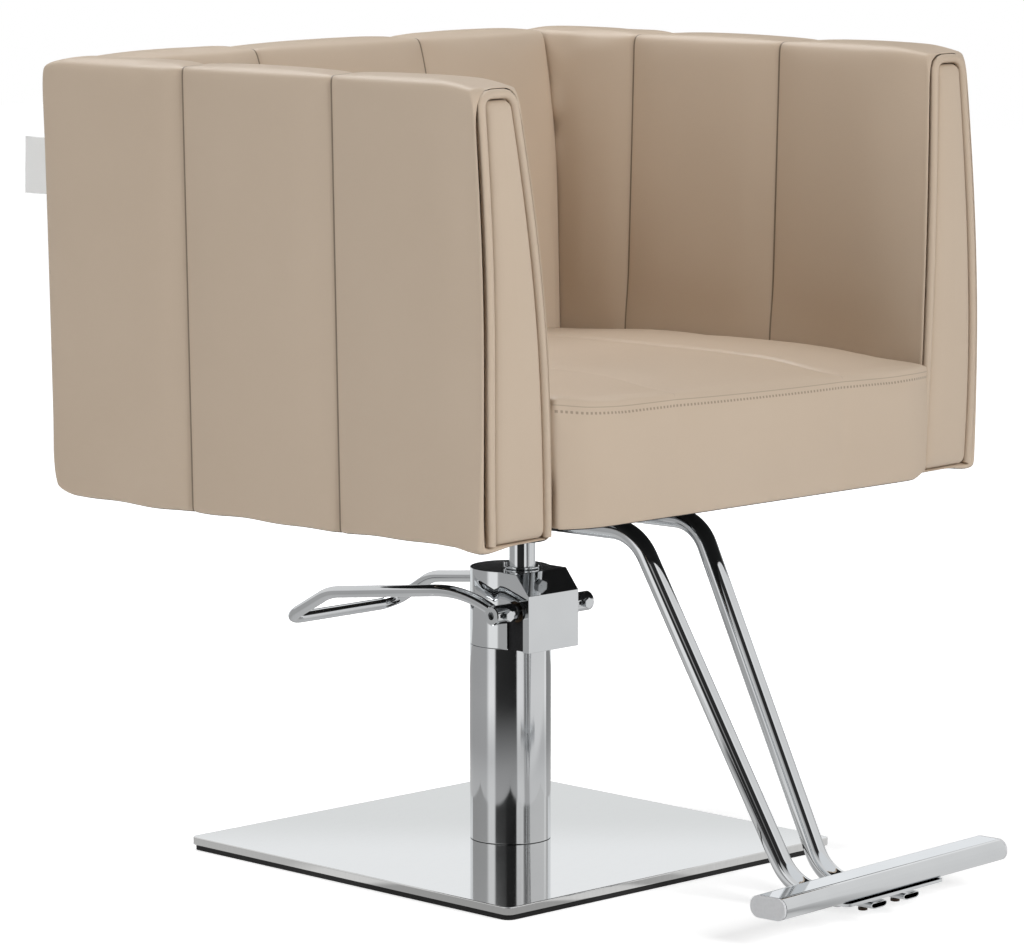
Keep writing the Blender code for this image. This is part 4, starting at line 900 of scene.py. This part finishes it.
def roll_front(piece, sign):
    """Rolls the leather over the arm's open front edge and down into the pocket behind the piping."""
    shape = bmesh.new()
    shape.from_mesh(piece.data)
    loop = rim_loop(shape)
    spots = range(len(loop))
    start = max(spots, key=lambda index: loop[index].co.z - 0.2 * abs(abs(loop[index].co.x) - 0.340))
    loop = loop[start:] + loop[:start]
    if (loop[3].co.x - loop[0].co.x) * sign < 0:
        loop = [loop[0]] + loop[:0:-1]
    foot = min(spots, key=lambda index: loop[index].co.z + 0.2 * abs(abs(loop[index].co.x) - 0.327))
    line = front_line(0, 0, shell_low + 0.0025, 0.016)
    top = len(line) // 2
    lower = (line[0] + line[-1]) / 2
    outer_half = run_along(line[top::-1] + [lower], foot + 1)
    inner_half = run_along(line[top:] + [lower], len(loop) - foot + 1)
    aims = [puffed(point) for point in outer_half[:-1] + inner_half[:0:-1]]
    rings = [loop]
    for step in range(1, 9):
        turn = math.pi * step / 8
        share = (1 - math.cos(turn)) / 2
        depth = 0.005 * (1 - math.sin(turn))
        ring = []
        for vert, aim in zip(loop, aims):
            x = vert.co.x + (sign * aim.x - vert.co.x) * share
            z = vert.co.z + (aim.y - vert.co.z) * share
            ring.append(shape.verts.new((x, front_plane(z) + depth, z)))
        rings.append(ring)
    rings.append([shape.verts.new(vert.co + Vector((0, 0.007, 0))) for vert in rings[-1]])
    skin(shape, rings)
    shape.faces.new(rings[-1])
    bmesh.ops.recalc_face_normals(shape, faces=shape.faces)
    shape.to_mesh(piece.data)
    shape.free()


# Arms. Each is a padded side that leans out, in three sewn channels, with its front rolled into a
# pocket for the front panel. Black lining closes it underneath.
shell_depths = (0.19, 0.36, 0.5, 0.64, 0.81)
shell_levels = [shell_low + 0.005, shell_low + 0.014, shell_high - 0.034, shell_high - 0.014]
shell_levels = sorted(shell_levels + spread(shell_low + 0.014, shell_high - 0.034, 0.020))


def arm(side, sign):
    """One arm: a leaning box with soft edges and channels round it, its front rolled into a pocket."""
    lengths = seam_cuts(arm_front + 0.005, arm_rear, arm_seams, 0.020, 0.030)
    piece = cut_box(
        f"{side}_leather_arm",
        Vector((0, arm_front + 0.005, shell_low)),
        Vector((1, arm_rear, shell_high)),
        (shell_depths, lengths, shell_levels),
    )
    remember(piece)
    pick(piece, "FACE", lambda face: face.normal.y < -0.9)
    bpy.ops.mesh.delete(type="ONLY_FACE")
    bpy.ops.object.mode_set(mode="OBJECT")
    middle = (arm_rear + arm_front) / 2
    half_length = (arm_rear - arm_front) / 2
    for vert in piece.data.vertices:
        across, y, z = vert.co
        puff = crowned(y, arm_seams, arm_front, arm_rear)
        inner = arm_inner(z) - stand_in(y, z)
        x = inner + (arm_outer(z) - inner) * across
        front = (1 - ease((y - arm_front - 0.005) / 0.034)) ** 2
        if across > 0.999:
            x += puff - 0.0012 * front
        if across < 0.001:
            x -= puff * above_seat(z) * (1 if y < 0.166 else 0) - 0.0045 * front
        top = z + (0.3 * puff - 0.005 * front if z > shell_high - 0.0005 else 0.0)
        skew = 0.020 * (1 - across) * (1 - ((y - middle) / half_length) ** 2)
        share = (y - arm_front) / (2 * half_length)
        back = lean(0, arm_rake, z) * (1 - share) + lean(-0.009, 0.0075, z) * share
        back -= front_fullness(z) * (1 - ease((y - arm_front) / 0.12))
        end = ease((y - arm_rear + 0.028) / 0.028)
        low = 1 - ease((z - shell_low) / 0.028)
        high = ease((z - shell_high + 0.022) / 0.022)
        top += end * end * (0.010 * low - 0.005 * high)
        vert.co = (sign * x, y + skew + back - end * (0.006 * low + 0.004 * high), top)
    pick(piece, "FACE", lambda face: True)
    bpy.ops.mesh.normals_make_consistent(inside=False)
    bpy.ops.object.mode_set(mode="OBJECT")
    finer(piece)
    held = []
    along = values(piece, "along")
    up = values(piece, "up")
    for index in range(len(piece.data.vertices)):
        near_seam = min(abs(along[index] - seam) for seam in arm_seams) < 0.003
        low = up[index] < shell_low + 0.02
        end = along[index] < arm_front + 0.012
        held.append(1.0 if near_seam or low or end else 0.0)
    swell(piece, held, 4.0, 0.0016)
    finer(piece)
    across = values(piece, "across")
    along = values(piece, "along")
    up = values(piece, "up")
    for vert in piece.data.vertices:
        outward, y, z = across[vert.index], along[vert.index], up[vert.index]
        hem = ease((outward - 0.5) / 0.4) * (1 - ease((z - shell_low) / 0.05))
        wave = 0.0008 * math.sin(31 * y + 1.0) + 0.0005 * math.sin(77 * y)
        flap = 0.003 * (1 - ease((y - arm_front) / 0.035))
        vert.co.z += hem * (wave - flap)
        if sign > 0 and outward < 0.2:
            fold = math.exp(-(((z - 0.718) / 0.020) ** 2))
            fold -= 0.7 * math.exp(-(((z - 0.692) / 0.012) ** 2))
            fold += 0.6 * math.exp(-(((z - 0.668) / 0.016) ** 2))
            vert.co.x -= 0.0036 * fold * math.exp(-(((y - 0.203) / 0.012) ** 2))
    roll_front(piece, sign)
    close(piece, 60)
    return piece


def line_under(piece, slope):
    """Black lining on the faces that look down more steeply than a slope."""
    piece.data.materials.append(lining)
    for face in piece.data.polygons:
        if face.normal.z < slope:
            face.material_index = 1


leather_light = colour(205, 187, 167)
leather_dark = colour(197, 178, 157)
arm_leather = leather_finish("arm_leather", leather_light, leather_dark, [("along", arm_seams)])
for side, sign in (("left", -1), ("right", 1)):
    piece = arm(side, sign)
    wear(piece, arm_leather)
    line_under(piece, -0.85)
    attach(piece, "seat")
    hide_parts(f"{side}_arm")

# Arm fronts. A padded panel fills the pocket in the front of each arm, with a leather piping
# sewn round it from foot to foot.
panel_foot = 0.3765


def front_panel(side, sign):
    """A closed, slightly crowned pad inside the piping."""
    line = front_line(0.0118, 0.0090, panel_foot, 0.007)
    foot_corners = bend([line[-2], line[-1], line[0], line[1]], [0.006, 0.006])
    edge = run_along(line[1:-1] + foot_corners[1:-1] + [line[1]], 241)[:-1]
    for point in edge:
        point.y -= 0.0008 * ease((point.y - shell_high + 0.045) / 0.020)
    shape = bmesh.new()
    rings = []
    profile = [
        (0.0, 0.0117), (0.0, 0.0060), (0.0, 0.0022), (0.02, 0.0004), (0.06, -0.0012),
        (0.12, -0.0024), (0.25, -0.0036), (0.45, -0.0042), (0.70, -0.0045), (1.0, -0.0046),
    ]
    for inward, depth in profile:
        ring = []
        for point in edge:
            z = min(max(point.y, panel_foot + 0.034), shell_high - 0.039)
            spine = (arm_outer(z) + arm_inner(z) + 0.0040) / 2
            spot = puffed(point.lerp(Vector((spine, z, 0)), inward))
            ring.append(shape.verts.new((sign * spot.x, front_plane(spot.y) + depth, spot.y)))
        rings.append(ring)
    skin(shape, rings)
    shape.faces.new(rings[0])
    bmesh.ops.remove_doubles(shape, verts=rings[-1], dist=0.0011)
    bmesh.ops.recalc_face_normals(shape, faces=shape.faces)
    data = bpy.data.meshes.new(f"{side}_front_panel")
    shape.to_mesh(data)
    shape.free()
    piece = bpy.data.objects.new(f"{side}_front_panel", data)
    scene.collection.objects.link(piece)
    close(piece, 50)
    return piece


plain_leather = leather_finish("plain_leather", leather_light, leather_dark, [])
for side, sign in (("left", -1), ("right", 1)):
    panel = front_panel(side, sign)
    path = run_along(front_line(0.0068, 0.0041, panel_foot, 0.0119), 160)
    path = [puffed(point) for point in path]
    line = [Vector((sign * point.x, front_plane(point.y) + 0.0005, point.y)) for point in path]
    piping = rod(f"{side}_leather_piping", line, 0.0044)
    for piece, node, slot in (
        (panel, f"{side}_arm_front", "leather"),
        (piping, f"{side}_arm_piping", "piped_leather"),
    ):
        wear(piece, plain_leather)
        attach(piece, "seat")
        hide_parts(node)

# Back. A padded panel between the arms, in three sewn channels like theirs and leaning back a little.
# Black lining closes it underneath.
back_seams = (-0.120, 0.120)
back_half = 0.311
back = cut_box(
    "leather_back",
    Vector((-back_half, 0, shell_low)),
    Vector((back_half, 1, shell_high)),
    (seam_cuts(-back_half, back_half, back_seams, 0.020, 0.010), shell_depths, shell_levels),
)
remember(back)
for vert in back.data.vertices:
    x, across, z = vert.co
    puff = crowned(x, back_seams, -back_half, back_half)
    inner = back_inner(z) + 0.018 * max((z - 0.62) / 0.17, 0) ** 2
    outer = lean(0.2740, 0.2905, z)
    y = inner + (outer - inner) * across
    if across > 0.999:
        y += puff
    if across < 0.001:
        y -= puff * above_seat(z)
    top = z + (0.3 * puff if z > shell_high - 0.0005 else 0.0)
    vert.co = (x * (arm_inner(z) - 0.0003) / back_half, y, top)
finer(back)
run = values(back, "across")
up = values(back, "up")
held = []
for index in range(len(back.data.vertices)):
    near_seam = min(abs(run[index] - seam) for seam in back_seams) < 0.003
    held.append(1.0 if near_seam or up[index] < shell_low + 0.02 else 0.0)
swell(back, held, 4.0, 0.0016)
finer(back)
close(back, 60)
wear(back, leather_finish("back_leather", leather_light, leather_dark, [("across", back_seams)]))
line_under(back, -0.85)
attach(back, "seat")
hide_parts("back_pad")

# Seat cushion. A foam cushion drawn over the board, its top in three panels and sewn to the front
# band along the edge.
cushion_seams = (-0.127, 0.127)
cushion_half = 0.2786
cushion_front = -0.2836
cushion_rear = 0.1811
cushion_low = 0.376
cushion_high = 0.489
cushion = cut_box(
    "leather_cushion",
    Vector((-cushion_half, cushion_front, cushion_low)),
    Vector((cushion_half, cushion_rear, cushion_high)),
    (
        seam_cuts(-cushion_half, cushion_half, cushion_seams, 0.020, 0.026),
        sorted([-0.2786, -0.2696, 0.1711, 0.1771] + spread(-0.2696, 0.1711, 0.020)),
        sorted([0.382, 0.394, 0.478, 0.4845] + spread(0.394, 0.478, 0.020)),
    ),
)
remember(cushion)
for vert in cushion.data.vertices:
    x, y, z = vert.co
    behind = y - cushion_front
    aside = x / cushion_half
    level = (z - cushion_low) / (cushion_high - cushion_low)
    corner = ease((abs(x) - 0.228) / 0.0506) ** (1.4 if x < 0 else 2)
    if z > cushion_high - 0.0005:
        middle = math.cos(math.pi / 2 * aside)
        beside = (1 - middle) * math.sin(math.pi / 2 * min(behind / 0.17, 1.0))
        crown = 0.011 * middle * ease(behind / 0.09)
        crown += 0.010 * beside * (1 - ease((y - 0.02) / 0.16))
        nearest = min(abs(x - seam) for seam in cushion_seams)
        crease = math.exp(-((nearest / 0.003) ** 2)) * ease(behind / 0.02)
        vert.co.z += crown - 0.0013 * crease * (1 - ease((y + 0.24) / 0.14))
    vert.co.z += 0.008 * ease((x - 0.250) / 0.0286) ** 2 * (1 - ease((z - cushion_low) / 0.03))
    vert.co.y += (0.015 if x < 0 else 0.007) * corner * (1 - ease(behind / 0.06))
    if x < 0:
        vert.co.z += 0.004 * corner * ease((z - 0.43) / 0.05) * (1 - ease(behind / 0.06))
    vert.co.y -= 0.012 * (1 - ease(behind / 0.12))
    if behind < 0.0036:
        vert.co.y -= 0.0025 * math.sin(math.pi * level) * (1 - aside ** 2)
    vert.co.z += (0.0012 - 0.0037 * aside) * level - 0.0045 * aside
    height = min(vert.co.z, cushion_high)
    wide = 0.004 * (1 - ease(behind / 0.03))
    vert.co.x *= (arm_inner(height) - 0.0003 - stand_in(y, height) + wide) / cushion_half
    if y > 0:
        vert.co.y *= (back_inner(height) - 0.0003) / cushion_rear
finer(cushion)
run = values(cushion, "across")
up = values(cushion, "up")
held = []
for index in range(len(cushion.data.vertices)):
    near_seam = min(abs(run[index] - seam) for seam in cushion_seams) < 0.003
    held.append(1.0 if up[index] < 0.40 or (near_seam and up[index] > 0.48) else 0.0)
swell(cushion, held, 4.0, 0.0020)
finer(cushion)
close(cushion, 60)


def topstitch_and_seam_shade(place):
    """Thread dashes in a row under the cushion's front seam, with painted shade as a dark line along that
    seam and a fainter one along the two panel seams on its top.
    """
    along = place.node("Attribute", {"attribute_name": "along"}, {}, "Fac")
    across = place.node("Attribute", {"attribute_name": "across"}, {}, "Fac")
    up = place.node("Attribute", {"attribute_name": "up"}, {}, "Fac")
    front = 1 - along.limit(-0.2815, -0.2775)
    beat = 205 * place.node("SeparateXYZ", {}, {"Vector": place}, "X")
    dash = 1 - abs(beat.maths("FRACT", beat, 0.0) - 0.5).limit(0.20, 0.32)
    row = 1 - abs(up - 0.4795).limit(0.0004, 0.0010)
    # Painted shade: a dark line on the front seam, for the shade in its gap.
    seam = 1 - abs(up - 0.4836).limit(0.0002, 0.0008)
    # Painted shade: fainter dark lines on the top's two panel seams, fading back from the front.
    panel = 1 - abs(abs(across) - cushion_seams[1]).limit(0.0002, 0.0007)
    panel = panel * up.limit(0.484, 0.488) * (1 - along.limit(-0.25, -0.13))
    return (front * (0.7 * row * dash + 0.5 * seam) + 0.35 * panel).limit(0.0, 1.0)


wear(cushion, leather_finish("cushion_leather", leather_light, leather_dark, [], stitches_and_seam_shade=topstitch_and_seam_shade))
line_under(cushion, -0.6)
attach(cushion, "seat")
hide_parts("seat_cushion")

# Sewn tag. A strip of white woven tape, folded to a soft loop and caught by both ends in the seam at
# the rear of the left arm. It is blank.
tag_low, tag_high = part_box("sewn_tag")
tag_middle = (tag_low.x + tag_high.x) / 2
tag_start = tag_low.y - 0.004
reach = tag_high.y - tag_start - 0.0014
fold_radius = 0.0012
turns = [math.pi * step / 12 for step in range(13)]
outer_side = [(-0.0002 - 0.0010 * ease(step / 10), reach * step / 10) for step in range(10)]
fold = [(-fold_radius * math.cos(turn), reach + fold_radius * math.sin(turn)) for turn in turns]
profile = outer_side + fold + [(-across, out) for across, out in reversed(outer_side)]
tape_width = tag_high.z - tag_low.z
shape = bmesh.new()
rows = []
for level in range(13):
    height = level / 12
    flare = 0.0016 * (0.5 - height)
    row = []
    for across, out in profile:
        y = tag_start + out + flare * ease(out / reach)
        row.append(shape.verts.new((tag_middle + across, y, tag_low.z + tape_width * height)))
    rows.append(row)
for lower, upper in zip(rows, rows[1:]):
    for index in range(len(profile) - 1):
        shape.faces.new((lower[index], lower[index + 1], upper[index + 1], upper[index]))
bmesh.ops.recalc_face_normals(shape, faces=shape.faces)
data = bpy.data.meshes.new("folded_tag")
shape.to_mesh(data)
shape.free()
tag = bpy.data.objects.new("folded_tag", data)
scene.collection.objects.link(tag)
apply(tag, "SOLIDIFY", thickness=0.00025, offset=0.0)
close(tag, 60)
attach(tag, "seat")
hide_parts("sewn_tag")

cloth, shader, place = finish("white_tape")
weave = threads(place, "Z", 420.0)
weave.blend(colour(242, 242, 240), colour(253, 253, 252)).feed(shader, "Base Color")
(0.75 + 0.15 * weave).feed(shader, "Roughness")
wear(tag, cloth)
